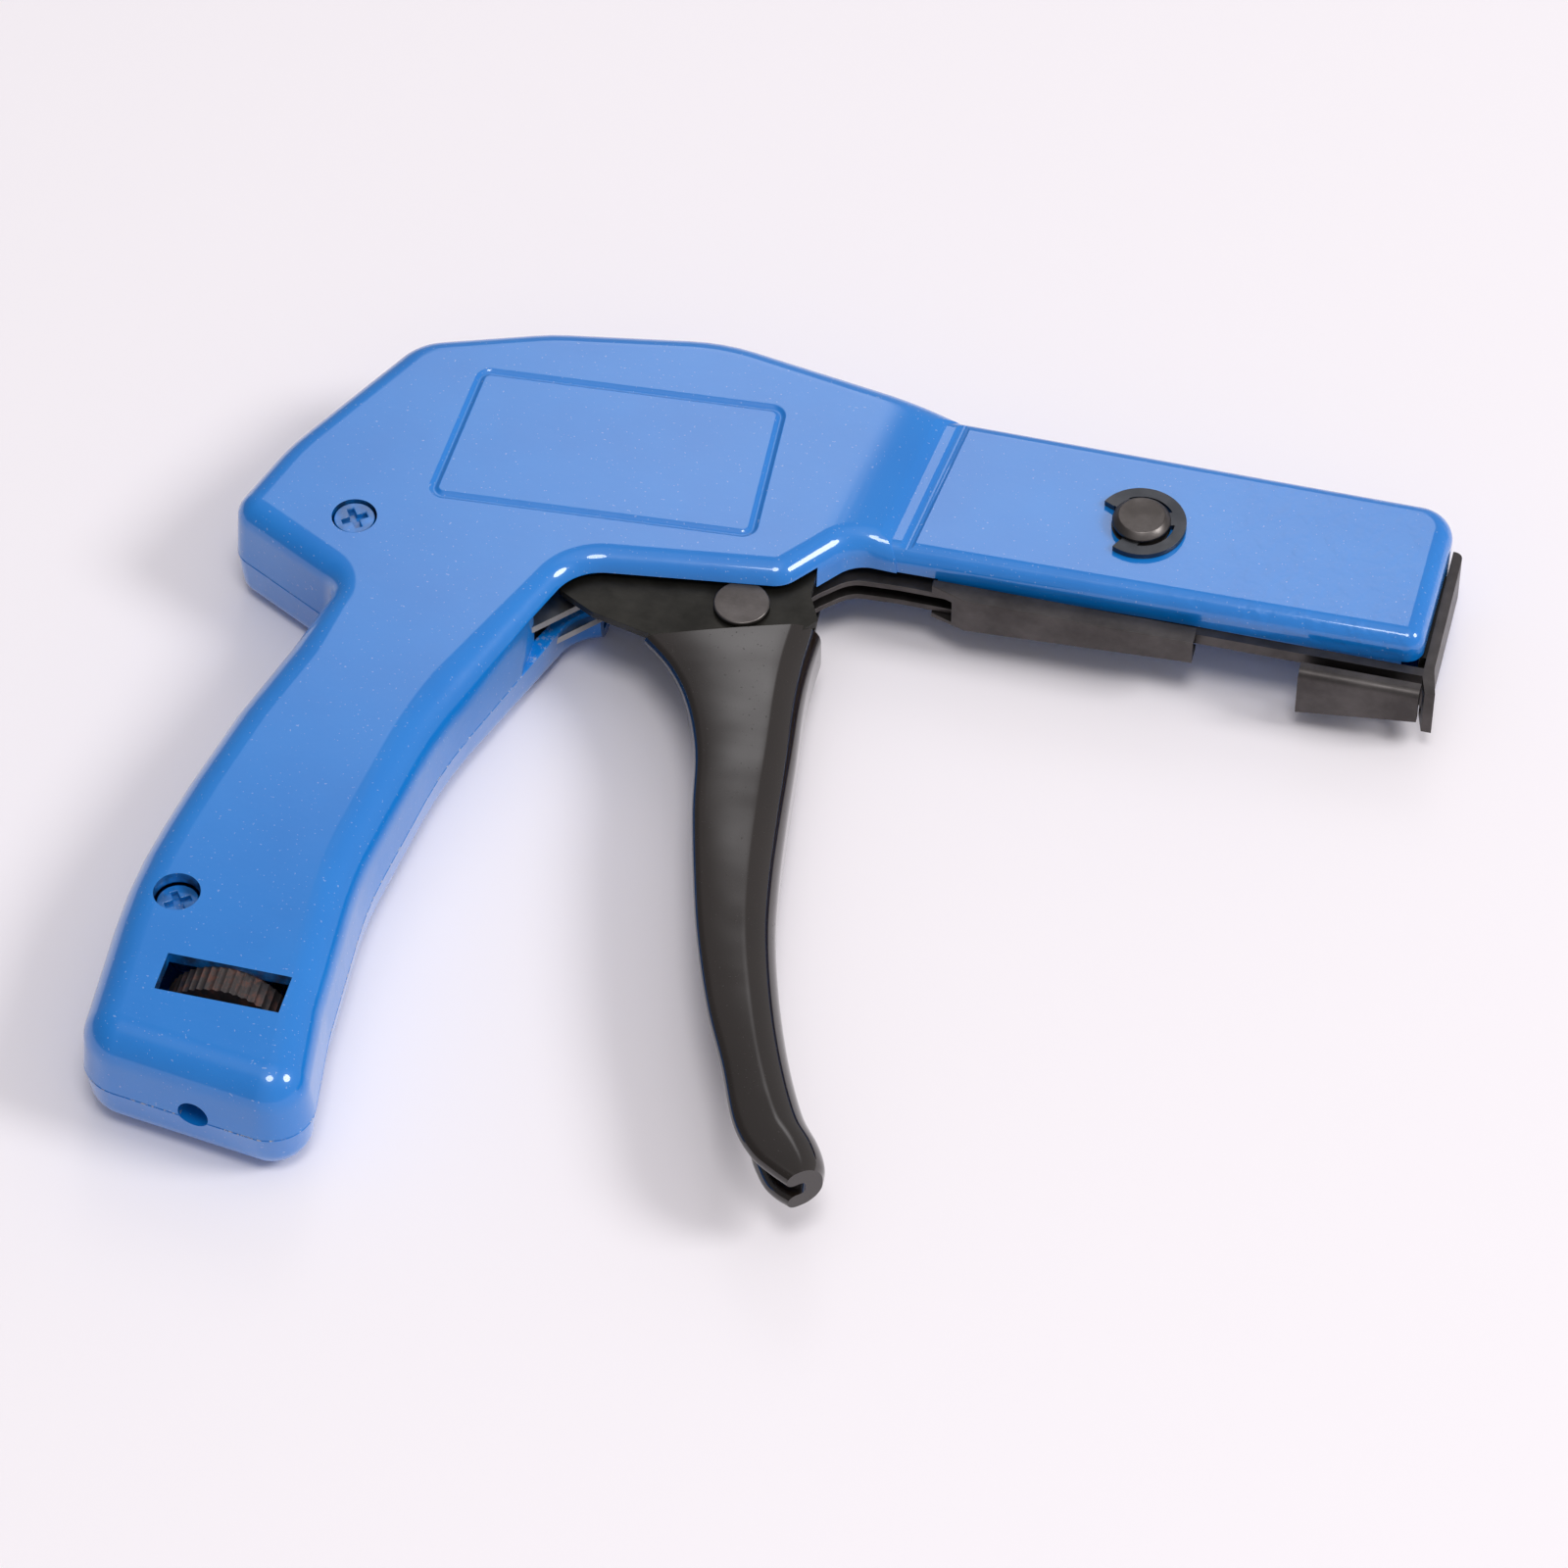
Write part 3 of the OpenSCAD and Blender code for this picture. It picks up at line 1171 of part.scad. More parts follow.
// Knurled nut in the wheel slots
knurl_count = 48;
knurl_depth = 0.35;
wheel_chamfer = 0.4;
module adjuster_wheel() {
    color(black_steel) translate([rod_x, wheel_y - wheel_t / 2, mid_z]) rotate([-90, 0, 0])
        difference() {
            union() {
                linear_extrude(wheel_t - wheel_chamfer) polygon([for (i = [0:2 * knurl_count - 1])
                    let (r = wheel_d / 2 - (i % 2) * knurl_depth, a = 180 * i / knurl_count)
                    [r * cos(a), r * sin(a)]]);
                cylinder(d = wheel_d - 2 * knurl_depth - wheel_chamfer, h = wheel_t);
            }
            translate([0, 0, -over]) cylinder(d = rod_d + 2 * run_gap, h = wheel_t + 2 * over);
        }
}

echo(tension_spring_gap = spring_pitch - spring_wire);
echo(trigger_spring_gap = coil_gap);

housing_upper();
housing_lower();
shell_screws();
locating_dowels();
trigger_lever();
trigger_grip();
trigger_pivot_pin();
trigger_bush();
trigger_spring();
link_rivet();
link_spacers();
pull_link();
gripper_carriage();
gripper_slide();
carriage_pin();
gripper_pawl();
pawl_pin();
pawl_spring();
nose_frame();
tie_guide();
cutter_blade();
cutoff_lever();
cutoff_pivot_pin();
retaining_clip();
lever_washers();
tension_strips();
strip_pin_upper();
strip_pin_lower();
tension_rod();
tension_spring();
spring_stop();
spring_seat();
adjuster_wheel();
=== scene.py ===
# %% [markdown]
# A cable tie tensioning tool lies on its side on a pale table. The working model comes packed as a
# frame of metal pieces that already move. We load it first, because every piece that we dress here
# takes its place from it. Sizes are written in millimetres and turned into metres as they are used.

# %% Load the frame
import json
import math
import bmesh
import bpy
from mathutils import Matrix, Vector

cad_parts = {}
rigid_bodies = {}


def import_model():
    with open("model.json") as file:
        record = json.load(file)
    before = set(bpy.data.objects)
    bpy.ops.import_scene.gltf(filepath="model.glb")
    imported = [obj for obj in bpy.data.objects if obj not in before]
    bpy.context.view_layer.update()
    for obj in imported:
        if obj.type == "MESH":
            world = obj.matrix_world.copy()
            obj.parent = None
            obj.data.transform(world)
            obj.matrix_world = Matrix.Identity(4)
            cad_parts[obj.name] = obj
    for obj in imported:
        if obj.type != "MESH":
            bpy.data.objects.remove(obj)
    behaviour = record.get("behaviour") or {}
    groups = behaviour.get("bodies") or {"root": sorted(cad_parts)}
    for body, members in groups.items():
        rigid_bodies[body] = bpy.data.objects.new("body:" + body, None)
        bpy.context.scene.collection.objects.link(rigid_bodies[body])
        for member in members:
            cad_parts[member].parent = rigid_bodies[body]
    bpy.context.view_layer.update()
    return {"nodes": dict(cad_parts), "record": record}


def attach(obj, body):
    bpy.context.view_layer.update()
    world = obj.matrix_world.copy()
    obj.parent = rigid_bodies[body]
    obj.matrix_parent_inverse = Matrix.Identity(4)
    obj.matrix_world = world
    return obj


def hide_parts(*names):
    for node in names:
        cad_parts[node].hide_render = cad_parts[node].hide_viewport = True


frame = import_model()
MM = 0.001
print("pieces in the frame:", len(frame["nodes"]))

# %% [markdown]
# The camera stands about 0.9 m away and looks down at a little more than half a right angle, with a
# long lens, so the tool hardly tapers with distance. Its three axes are worked out from two angles.

# %% Camera
CAMERA_AZIMUTH, CAMERA_TILT = math.radians(14.0), math.radians(49.5)
CAMERA_AIM = Vector((13.39, -48.51, 15.5)) * MM
CAMERA_DISTANCE = 903.2 * MM
LENS_MM, SENSOR_MM = 157.5, 36.0


def add_camera():
    sa, ca = math.sin(CAMERA_AZIMUTH), math.cos(CAMERA_AZIMUTH)
    se, ce = math.sin(CAMERA_TILT), math.cos(CAMERA_TILT)
    right = Vector((ca, sa, 0))
    up = Vector((-sa * se, ca * se, ce))
    back = Vector((sa * ce, -ca * ce, se))
    data = bpy.data.cameras.new("camera")
    data.lens, data.sensor_width = LENS_MM, SENSOR_MM
    camera = bpy.data.objects.new("camera", data)
    bpy.context.scene.collection.objects.link(camera)
    turn = Matrix((right, up, back)).transposed().to_4x4()
    camera.matrix_world = Matrix.Translation(CAMERA_AIM + back * CAMERA_DISTANCE) @ turn
    bpy.context.scene.camera = camera
    return camera


camera = add_camera()
bpy.context.scene.view_settings.view_transform = "Standard"
print("camera at", [round(v, 4) for v in camera.location])

# %% [markdown]
# A material is a small graph of nodes. These helpers make the graph short to write: one adds a
# node and sets its sockets, one joins two sockets, and one starts a material with its shader.
# Patterns read Object coordinates in metres, so a pattern that is fine on the tool has a scale in
# the hundreds.


# %% Node helpers
def add_node(tree, kind, sockets=(), **settings):
    node = tree.nodes.new(kind)
    for key, value in settings.items():
        setattr(node, key, value)
    for key, value in dict(sockets).items():
        node.inputs[key].default_value = value
    return node


def join(tree, out, into):
    tree.links.new(out, into)


def new_material(name, sockets):
    material = bpy.data.materials.new(name)
    material.use_nodes = True
    tree = material.node_tree
    shader = tree.nodes["Principled BSDF"]
    for key, value in sockets.items():
        shader.inputs[key].default_value = value
    place = add_node(tree, "ShaderNodeTexCoord").outputs["Object"]
    return material, tree, shader, place


def noise(tree, place, scale, detail=3.0, rough=0.55):
    node = add_node(tree, "ShaderNodeTexNoise", {"Scale": scale, "Detail": detail, "Roughness": rough})
    join(tree, place, node.inputs["Vector"])
    return node.outputs["Fac"]


def ramp(tree, value, low, high, first=(0, 0, 0, 1), last=(1, 1, 1, 1)):
    node = add_node(tree, "ShaderNodeValToRGB")
    node.color_ramp.elements[0].position, node.color_ramp.elements[1].position = low, high
    node.color_ramp.elements[0].color, node.color_ramp.elements[1].color = first, last
    join(tree, value, node.inputs["Fac"])
    return node.outputs["Color"]


def mix(tree, share, first, second):
    node = add_node(tree, "ShaderNodeMix", data_type="RGBA")
    for socket, value in ((node.inputs[0], share), (node.inputs[6], first), (node.inputs[7], second)):
        if isinstance(value, (int, float, tuple)):
            socket.default_value = value
        else:
            join(tree, value, socket)
    return node.outputs[2]


def maths(tree, operation, first, second=0.0, clamp=False):
    node = add_node(tree, "ShaderNodeMath", operation=operation, use_clamp=clamp)
    for socket, value in ((node.inputs[0], first), (node.inputs[1], second)):
        if isinstance(value, (int, float)):
            socket.default_value = value
        else:
            join(tree, value, socket)
    return node.outputs[0]


def add_bump(tree, shader, height, distance, strength=1.0):
    node = add_node(tree, "ShaderNodeBump", {"Strength": strength, "Distance": distance})
    join(tree, height, node.inputs["Height"])
    if shader.inputs["Normal"].is_linked:
        join(tree, shader.inputs["Normal"].links[0].from_socket, node.inputs["Normal"])
    join(tree, node.outputs["Normal"], shader.inputs["Normal"])


# %% [markdown]
# The housing is cast metal under thick glossy blue paint. Such paint is never quite even: it has a
# slow ripple, small craters towards the nose and dust under the gloss. Along the seam between the
# shells the paint is scraped off and bare metal glints; an attribute on the mesh says where. The
# recesses get a second paint, darkened in patches by grime and by painted shade, and the screws get
# a third with less of it.

# %% Blue paint
SEAM_Z = 8.0
PAINT_BLUE = (0.002, 0.180, 0.600, 1)
PAINT_PALE = (0.004, 0.200, 0.640, 1)
# Dark colour for the recesses: partly grime, partly painted shade.
GRIME_AND_SHADE = (0.006, 0.014, 0.035, 1)
BARE_METAL = (0.62, 0.62, 0.63, 1)


def make_paint(name, grime_and_shade):
    material, tree, shader, place = new_material(name, {
        "Coat Roughness": 0.05, "Coat IOR": 1.6, "Specular IOR Level": 0.25})
    mottle = ramp(tree, noise(tree, place, 60, 2), 0.3, 0.7)
    colour = mix(tree, mottle, PAINT_BLUE, PAINT_PALE)
    specks = ramp(tree, noise(tree, place, 2600, 1, 0.3), 0.735, 0.76)
    colour = mix(tree, maths(tree, "MULTIPLY", specks, 0.35), colour, (0.45, 0.55, 0.75, 1))
    # Patchy darkening, grime together with painted shade: strong in the recess paint, weaker on the screws.
    dirt_and_shade = maths(tree, "MULTIPLY", ramp(tree, noise(tree, place, 420, 3), 0.3, 0.62), grime_and_shade)
    colour = mix(tree, dirt_and_shade, colour, GRIME_AND_SHADE)
    split = add_node(tree, "ShaderNodeSeparateXYZ")
    join(tree, place, split.inputs[0])
    off = maths(tree, "ABSOLUTE", maths(tree, "SUBTRACT", split.outputs["Z"], SEAM_Z * MM))
    near = ramp(tree, maths(tree, "MULTIPLY", off, 1 / MM), 0.12, 0.20, (1, 1, 1, 1), (0, 0, 0, 1))
    wear = add_node(tree, "ShaderNodeAttribute", attribute_name="wear").outputs["Fac"]
    bitten = ramp(tree, noise(tree, place, 1100, 4, 0.7), 0.54, 0.60)
    bare = maths(tree, "MULTIPLY", maths(tree, "MULTIPLY", near, wear), bitten, True)
    join(tree, mix(tree, bare, colour, BARE_METAL), shader.inputs["Base Color"])
    join(tree, bare, shader.inputs["Metallic"])
    rough = maths(tree, "ADD", maths(tree, "MULTIPLY", dirt_and_shade, 0.3), 0.30)
    join(tree, maths(tree, "ADD", rough, maths(tree, "MULTIPLY", noise(tree, place, 300), 0.08)),
        shader.inputs["Roughness"])
    join(tree, maths(tree, "SUBTRACT", 1.0, bare), shader.inputs["Coat Weight"])
    nose = ramp(tree, split.outputs["X"], 0.050, 0.068)
    pits = maths(tree, "MULTIPLY", ramp(tree, noise(tree, place, 420, 2, 0.5), 0.42, 0.62), nose)
    add_bump(tree, shader, pits, 0.00012, 0.6)
    add_bump(tree, shader, noise(tree, place, 330, 2, 0.5), 0.00010, 0.6)
    add_bump(tree, shader, noise(tree, place, 70, 1, 0.4), 0.00040, 0.4)
    return material


# The second and third paints carry the patchy dark of grime and painted shade, for the recesses and the
# screws.
blue_paint = make_paint("blue_paint", 0.0)
grimy_shaded_paint = make_paint("grimy_shaded_paint", 0.85)
screw_paint = make_paint("screw_paint", 0.5)
print("paint nodes:", len(blue_paint.node_tree.nodes))

# %% [markdown]
# The folded pieces are black oxide steel: dark olive, satin, with faint scratches and a thin film
# of oil that makes the gloss uneven; where a tie or a hand rubs, it is paler. The trigger's grip is
# dipped in black plastic, which is glossy like glass and hides all tool marks. The wheel has gone
# dark, with rust in patches.


# %% Steel, coat and rust
SCRATCH_SCALE, SCRATCH_DEEP = (300, 4200, 4200), 0.00002


def make_steel(name, dark, pale, rough, metallic):
    material, tree, shader, place = new_material(name, {"Metallic": metallic})
    patch = ramp(tree, noise(tree, place, 160, 4, 0.6), 0.35, 0.7)
    join(tree, mix(tree, patch, dark, pale), shader.inputs["Base Color"])
    gloss = maths(tree, "ADD", maths(tree, "MULTIPLY", noise(tree, place, 420, 4), 0.22), rough)
    join(tree, gloss, shader.inputs["Roughness"])
    stretch = add_node(tree, "ShaderNodeMapping")
    stretch.inputs["Scale"].default_value = SCRATCH_SCALE
    join(tree, place, stretch.inputs["Vector"])
    add_bump(tree, shader, noise(tree, stretch.outputs["Vector"], 1.0, 2), SCRATCH_DEEP, 0.4)
    add_bump(tree, shader, noise(tree, place, 1500, 2), 0.00003, 0.25)
    return material


def make_coat():
    material, tree, shader, place = new_material("black_coat", {
        "IOR": 1.55, "Coat Weight": 0.3, "Coat Roughness": 0.03})
    depth = ramp(tree, noise(tree, place, 45, 2), 0.3, 0.75)
    join(tree, mix(tree, depth, (0.010, 0.0065, 0.0050, 1), (0.016, 0.011, 0.009, 1)),
        shader.inputs["Base Color"])
    dust = ramp(tree, noise(tree, place, 2400, 1, 0.3), 0.73, 0.76)
    join(tree, maths(tree, "ADD", maths(tree, "MULTIPLY", dust, 0.3), 0.09), shader.inputs["Roughness"])
    add_bump(tree, shader, noise(tree, place, 120, 1, 0.4), 0.00018, 0.35)
    return material


def make_rust():
    material, tree, shader, place = new_material("rusty_steel", {"Metallic": 0.7})
    rust = ramp(tree, noise(tree, place, 600, 5, 0.7), 0.48, 0.66)
    join(tree, mix(tree, rust, (0.070, 0.062, 0.062, 1), (0.150, 0.070, 0.055, 1)),
        shader.inputs["Base Color"])
    join(tree, maths(tree, "ADD", maths(tree, "MULTIPLY", rust, 0.35), 0.32), shader.inputs["Roughness"])
    add_bump(tree, shader, noise(tree, place, 2200, 3), 0.00006, 0.5)
    return material


black_steel = make_steel("black_steel", (0.022, 0.021, 0.018, 1), (0.042, 0.040, 0.035, 1), 0.27, 0.85)
worn_steel = make_steel("worn_steel", (0.060, 0.054, 0.053, 1), (0.105, 0.096, 0.094, 1), 0.30, 0.9)
rivet_steel = make_steel("rivet_steel", (0.100, 0.090, 0.085, 1), (0.170, 0.155, 0.150, 1), 0.28, 1.0)
clip_steel = make_steel("clip_steel", (0.075, 0.080, 0.090, 1), (0.110, 0.115, 0.125, 1), 0.28, 1.0)
bright_steel = make_steel("bright_steel", (0.42, 0.41, 0.39, 1), (0.60, 0.59, 0.57, 1), 0.25, 1.0)
black_coat = make_coat()
rusty_steel = make_rust()
print("metals and coat are ready")

# %% [markdown]
# The housing's outline is a closed chain of corners. Each corner has its place, the radius of its
# rounding in plan and the radius of the edge above it. The values are the working model's. Only
# here, as in the photo, the line where the body meets the barrel is tilted a little, and the bend
# before it goes 0.2 mm deeper.
# We walk round the corners and keep, at every point of the rounded line, the outward direction,
# because a fillet is nothing but the same line drawn in again and again while it climbs.

# %% Outlines of the housing
BODY_T, WALL, GRIP_WALL = 17.6, 1.8, 3.2
BARREL_TOP, BARREL_LOW = 15.8, 1.8
BODY_EDGE, HANDLE_EDGE, BARREL_EDGE = 3.4, 5.0, 2.5
JUNCTION_X, JUNCTION_Y, JUNCTION_TILT = 20.2, 8.25, math.radians(6)
LOW_EDGE_Y = 1.0


def on_junction(y):
    return JUNCTION_X + math.tan(JUNCTION_TILT) * (y - JUNCTION_Y), y


BODY = [(-72.2, -19.86, 4.2, BODY_EDGE), (-53.79, -29.60, 3.5, BODY_EDGE),
    (-61.52, -53.82, 175.5, HANDLE_EDGE), (-66.2, -83.66, 81.9, HANDLE_EDGE),
    (-64.39, -113.02, 6.5, HANDLE_EDGE), (-31.92, -117.47, 5.8, HANDLE_EDGE),
    (-34.64, -98.28, 35.1, HANDLE_EDGE), (-36.0, -76.05, 58.5, HANDLE_EDGE),
    (-32.83, -50.31, 70.2, HANDLE_EDGE), (-22.86, -18.95, 6.5, BODY_EDGE),
    (5.25, -15.08, 5.0, BODY_EDGE), (12.73, -5.54, 5.0, BODY_EDGE),
    (*on_junction(-5.80), 0, BODY_EDGE), (*on_junction(22.30), 0, BODY_EDGE),
    (-14.01, 28.3, 28.3, BODY_EDGE), (-37.98, 24.0, 28.3, BODY_EDGE),
    (-55.88, 17.60, 9.06, BODY_EDGE), (-68.01, -6.0, 33.96, BODY_EDGE)]
BODY_LOW = list(BODY)
BODY_LOW[10:13] = [(3.03, -12.45, 5.0, BODY_EDGE), (10.50, 0.5, 5.0, BODY_EDGE),
    (*on_junction(0.5), 0, BODY_EDGE)]
BARREL = [(13.0, -5.3, 0, BARREL_EDGE), (90.5, -4.0, 2.6, BARREL_EDGE),
    (90.9, 21.8, 5.0, BARREL_EDGE), (13.0, 21.8, 0, BARREL_EDGE)]
BARREL_LOW_PLAN = [(13.0, LOW_EDGE_Y, 0, BARREL_EDGE), (90.9, LOW_EDGE_Y, 2.6, BARREL_EDGE),
    (90.9, 21.8, 5.0, BARREL_EDGE), (13.0, 21.8, 0, BARREL_EDGE)]
ARC_STEP = math.radians(5)


def round_corner(before, corner, after):
    here = Vector(corner[:2])
    to_before = (Vector(before[:2]) - here).normalized()
    to_after = (Vector(after[:2]) - here).normalized()
    first, last = Vector((-to_before.y, to_before.x)), Vector((to_after.y, -to_after.x))
    if corner[2] == 0:
        return [(here, first + last, corner[3])]
    half = to_before.angle(to_after) / 2
    centre = here + (to_before + to_after).normalized() * corner[2] / math.sin(half)
    turn = first.angle_signed(last)
    bulge = 1 if turn < 0 else -1
    steps = max(2, math.ceil(abs(turn) / ARC_STEP))
    line = []
    for i in range(steps + 1):
        out = first.copy()
        out.rotate(Matrix.Rotation(-turn * i / steps, 2))
        line.append((centre + out * bulge * corner[2], out, corner[3]))
    return line


def rounded(corners):
    line = []
    for i, corner in enumerate(corners):
        line += round_corner(corners[i - 1], corner, corners[(i + 1) % len(corners)])
    return line


print("points round the body:", len(rounded(BODY)))

# %% [markdown]
# A shell half is that line lifted in steps. The first loop of edges is extruded again and again,
# and each new loop is moved in and up, so the wall, its lean, and the round edge come from one
# list of steps. A small groove is left at the seam, where the two castings meet.


# %% Lift a line in steps
def lift_line(line, steps, closed=False):
    """steps are functions of the edge radius that give (how far in, height)."""
    bm = bmesh.new()
    index = bm.verts.layers.int.new("index")
    ring = []
    for i, (point, out, radius) in enumerate(line):
        vert = bm.verts.new((point.x, point.y, 0))
        vert[index] = i
        ring.append(vert)
    edges = [bm.edges.new((ring[i - 1], ring[i])) for i in range(len(ring))]
    rings = [edges]
    for k, step in enumerate(steps):
        if k:
            made = bmesh.ops.extrude_edge_only(bm, edges=rings[-1])["geom"]
            ring = [g for g in made if isinstance(g, bmesh.types.BMVert)]
            rings.append([g for g in made if isinstance(g, bmesh.types.BMEdge)
                and all(v in ring for v in g.verts)])
        for vert in ring:
            point, out, radius = line[vert[index]]
            inset, height = step(radius)
            vert.co = (point.x - out.x * inset, point.y - out.y * inset, height)
    if closed:
        bmesh.ops.bridge_loops(bm, edges=rings[0] + rings[-1])
    else:
        for loop in (rings[0], rings[-1]):
            bmesh.ops.contextual_create(bm, geom=loop)
    bmesh.ops.recalc_face_normals(bm, faces=bm.faces)
    return bm


def to_object(bm, name, scale=MM):
    bmesh.ops.scale(bm, vec=(scale,) * 3, verts=bm.verts)
    mesh = bpy.data.meshes.new(name)
    bm.to_mesh(mesh)
    bm.free()
    piece = bpy.data.objects.new(name, mesh)
    bpy.context.scene.collection.objects.link(piece)
    return piece


SEAM_GROOVE = 0.15
EDGE_STEPS = 10


def half_steps(seam, face, draft, flat):
    way = 1 if face > seam else -1
    steps = [lambda r: (SEAM_GROOVE, seam), lambda r: (0.0, seam + way * SEAM_GROOVE)]
    for k in range(EDGE_STEPS + 1):
        angle = math.pi / 2 * k / EDGE_STEPS
        steps.append(lambda r, a=angle: (draft + r * (1 - math.cos(a)), face - way * r * (1 - math.sin(a))))
    steps.append(lambda r: (draft + r + flat, face))
    return steps


RAMP_LEN, RAMP_DROP, RAMP_CUTS = 12.0, 1.7, 10


def bend_end(bm, face):
    """The body's last stretch sinks to the barrel's face in a smooth curve."""
    ahead = Vector((math.cos(JUNCTION_TILT), -math.sin(JUNCTION_TILT), 0))
    start = Vector((JUNCTION_X, JUNCTION_Y, 0)) - ahead * RAMP_LEN
    for k in range(RAMP_CUTS):
        bmesh.ops.bisect_plane(bm, geom=bm.verts[:] + bm.edges[:] + bm.faces[:],
            plane_co=start + ahead * RAMP_LEN * k / RAMP_CUTS, plane_no=ahead)
    for vert in bm.verts:
        along = (vert.co - start).dot(ahead) / RAMP_LEN
        if along > 0:
            height = (vert.co.z - SEAM_Z) / (face - SEAM_Z)
            way = 1 if face > SEAM_Z else -1
            vert.co.z -= way * RAMP_DROP * along * along * max(0, height)


def shell_half(name, body, barrel, face, barrel_face):
    form = lift_line(rounded(body), half_steps(SEAM_Z, face, 0.4, 0.3))
    bend_end(form, face)
    bmesh.ops.recalc_face_normals(form, faces=form.faces)
    shell = to_object(form, name)
    tube = to_object(lift_line(rounded(barrel), half_steps(SEAM_Z, barrel_face, 0.0, 0.05)), name + "_barrel")
    return shell, tube


print("steps up a wall:", len(half_steps(0, 1, 0, 0)))

# %% [markdown]
# The hollow, the trigger's mouth, the slots and the holes are cut with solids, as a mill would.
# Each cutter is a small object that a Boolean modifier takes away, and then the modifiers are
# applied and the cutters are thrown away.


# %% Cutters
def box_cutter(low, high):
    bm = bmesh.new()
    bmesh.ops.create_cube(bm, size=1)
    size = Vector(high) - Vector(low)
    bmesh.ops.scale(bm, vec=size, verts=bm.verts)
    bmesh.ops.translate(bm, vec=(Vector(high) + Vector(low)) / 2, verts=bm.verts)
    return to_object(bm, "cutter")


def round_cutter(at, radius, low, high, along="Z"):
    bm = bmesh.new()
    bmesh.ops.create_cone(bm, cap_ends=True, segments=64, radius1=radius, radius2=radius, depth=high - low)
    if along == "Y":
        bmesh.ops.rotate(bm, matrix=Matrix.Rotation(math.pi / 2, 3, "X"), verts=bm.verts)
        bmesh.ops.translate(bm, vec=(at[0], (low + high) / 2, at[1]), verts=bm.verts)
    else:
        bmesh.ops.translate(bm, vec=(at[0], at[1], (low + high) / 2), verts=bm.verts)
    return to_object(bm, "cutter")


def room_cutter(plan, low, high, wall, grip_wall):
    def inner(height):
        return lambda r: (grip_wall if r > BODY_EDGE else wall, height)
    return to_object(lift_line(rounded(plan), [inner(low), inner(high)]), "cutter")


def carve(piece, cutters, unions=()):
    for kind, others in (("UNION", unions), ("DIFFERENCE", cutters)):
        for other in others:
            cut = piece.modifiers.new("cut", "BOOLEAN")
            cut.operation, cut.solver, cut.object = kind, "EXACT", other
    bpy.context.view_layer.update()
    done = bpy.data.meshes.new_from_object(piece.evaluated_get(bpy.context.evaluated_depsgraph_get()))
    piece.modifiers.clear()
    piece.data = done
    for other in [*cutters, *unions]:
        bpy.data.objects.remove(other)
    return piece


def smooth_piece(piece, material, angle=30):
    piece.data.materials.clear()
    piece.data.materials.append(material)
    piece.data.shade_smooth()
    piece.data.set_sharp_from_angle(angle=math.radians(angle))
    weigh = piece.modifiers.new("weigh", "WEIGHTED_NORMAL")
    weigh.keep_sharp = True
    return piece


# %% [markdown]
# The shells share most of their cutters. The upper shell alone has the two screw recesses, the
# groove round the blank panel and the shallow valley where the bend meets the barrel. The groove is
# a closed line too, lifted in steps down and up again, with soft shoulders where the paint has run.
# Each room is given by its low corner and its high corner.

# %% Carve the two shells
OVER = 1.0
ROD_X, ROD_Z, BUTT_Y = -47.78, 8.8, -117.0
SCREWS = [((-54.37, -17.91), 0.4), ((-58.05, -87.05), 2.0)]
SCREW_HEAD_H, SCREW_RECESS_R = 1.6, 3.1
CUTOFF_AT, CUTOFF_HOLE_R = (49.4, 7.8), 4.05
SLOT_Y, SLOT_HALF_W, SLOT_HALF_H = -100.1, 8.3, 3.0
PANEL = [(-45.27, 13.10, 2.0, 0), (-45.99, -11.80, 2.0, 0), (-0.72, -8.60, 2.0, 0), (-2.31, 16.10, 2.0, 0)]
GROOVE = [(-0.35, 0.05), (-0.05, -0.10), (0.22, -0.30), (0.5, -0.36), (0.78, -0.30),
    (1.05, -0.10), (1.35, 0.05)]
MOUTH = ((-20.0, -35.1, 2.2), (8.48, -7.92, 15.4))
LINK_SLOT = ((0, -17.0, 5.5), (24.1, 4.2, 12.1))
RAIL_SLOT = ((JUNCTION_X, -10.6, 7.0), (111.0, 5.3, 11.45))
NOSE_SLOT = ((87.3, -10.6, 3.6), (111.0, 14.3, 11.45))
TAIL_ROOM = ((-27.15, -35.1, SEAM_Z - OVER), (-19.0, -7.92, 15.4))
LOW_MOUTH = ((-20.0, -35.1, -OVER), (8.48, -13.3, SEAM_Z + OVER))
EAR_ROOM = ((0.1, -8.5, 2.3), (8.4, -0.28, SEAM_Z + OVER))
BUTT_HOLE_R, BUTT_HOLE_END = 2.1, -105.3


def groove_cutter():
    line = [(point, out, 0) for point, out, radius in rounded(PANEL)]
    steps = [lambda r, i=inset, h=height: (i, BODY_T + h) for inset, height in GROOVE]
    steps += [lambda r, i=inset: (i, BODY_T + OVER) for inset in (GROOVE[-1][0], GROOVE[0][0])]
    return to_object(lift_line(line, steps, closed=True), "cutter")


def shared_cutters(body, barrel, low, high):
    return [
        room_cutter(body, max(low, WALL), min(high, BODY_T - WALL), WALL, GRIP_WALL),
        room_cutter(barrel, max(low, BARREL_LOW + WALL), min(high, BARREL_TOP - WALL), WALL, WALL),
        box_cutter((*MOUTH[0][:2], max(low, MOUTH[0][2])), (*MOUTH[1][:2], min(high, MOUTH[1][2]))),
        box_cutter(*LINK_SLOT),
        box_cutter(*RAIL_SLOT),
        box_cutter(*NOSE_SLOT),
        box_cutter((ROD_X - SLOT_HALF_W, SLOT_Y - SLOT_HALF_H, -OVER),
            (ROD_X + SLOT_HALF_W, SLOT_Y + SLOT_HALF_H, BODY_T + OVER)),
        round_cutter((ROD_X, ROD_Z), BUTT_HOLE_R, BUTT_Y - OVER, BUTT_HOLE_END, "Y"),
        round_cutter(CUTOFF_AT, CUTOFF_HOLE_R, -OVER, BODY_T + OVER)]


CREASE_R, CREASE_DEEP, CREASE_X, CREASE_LEN = 1.6, 0.32, 20.6, 60


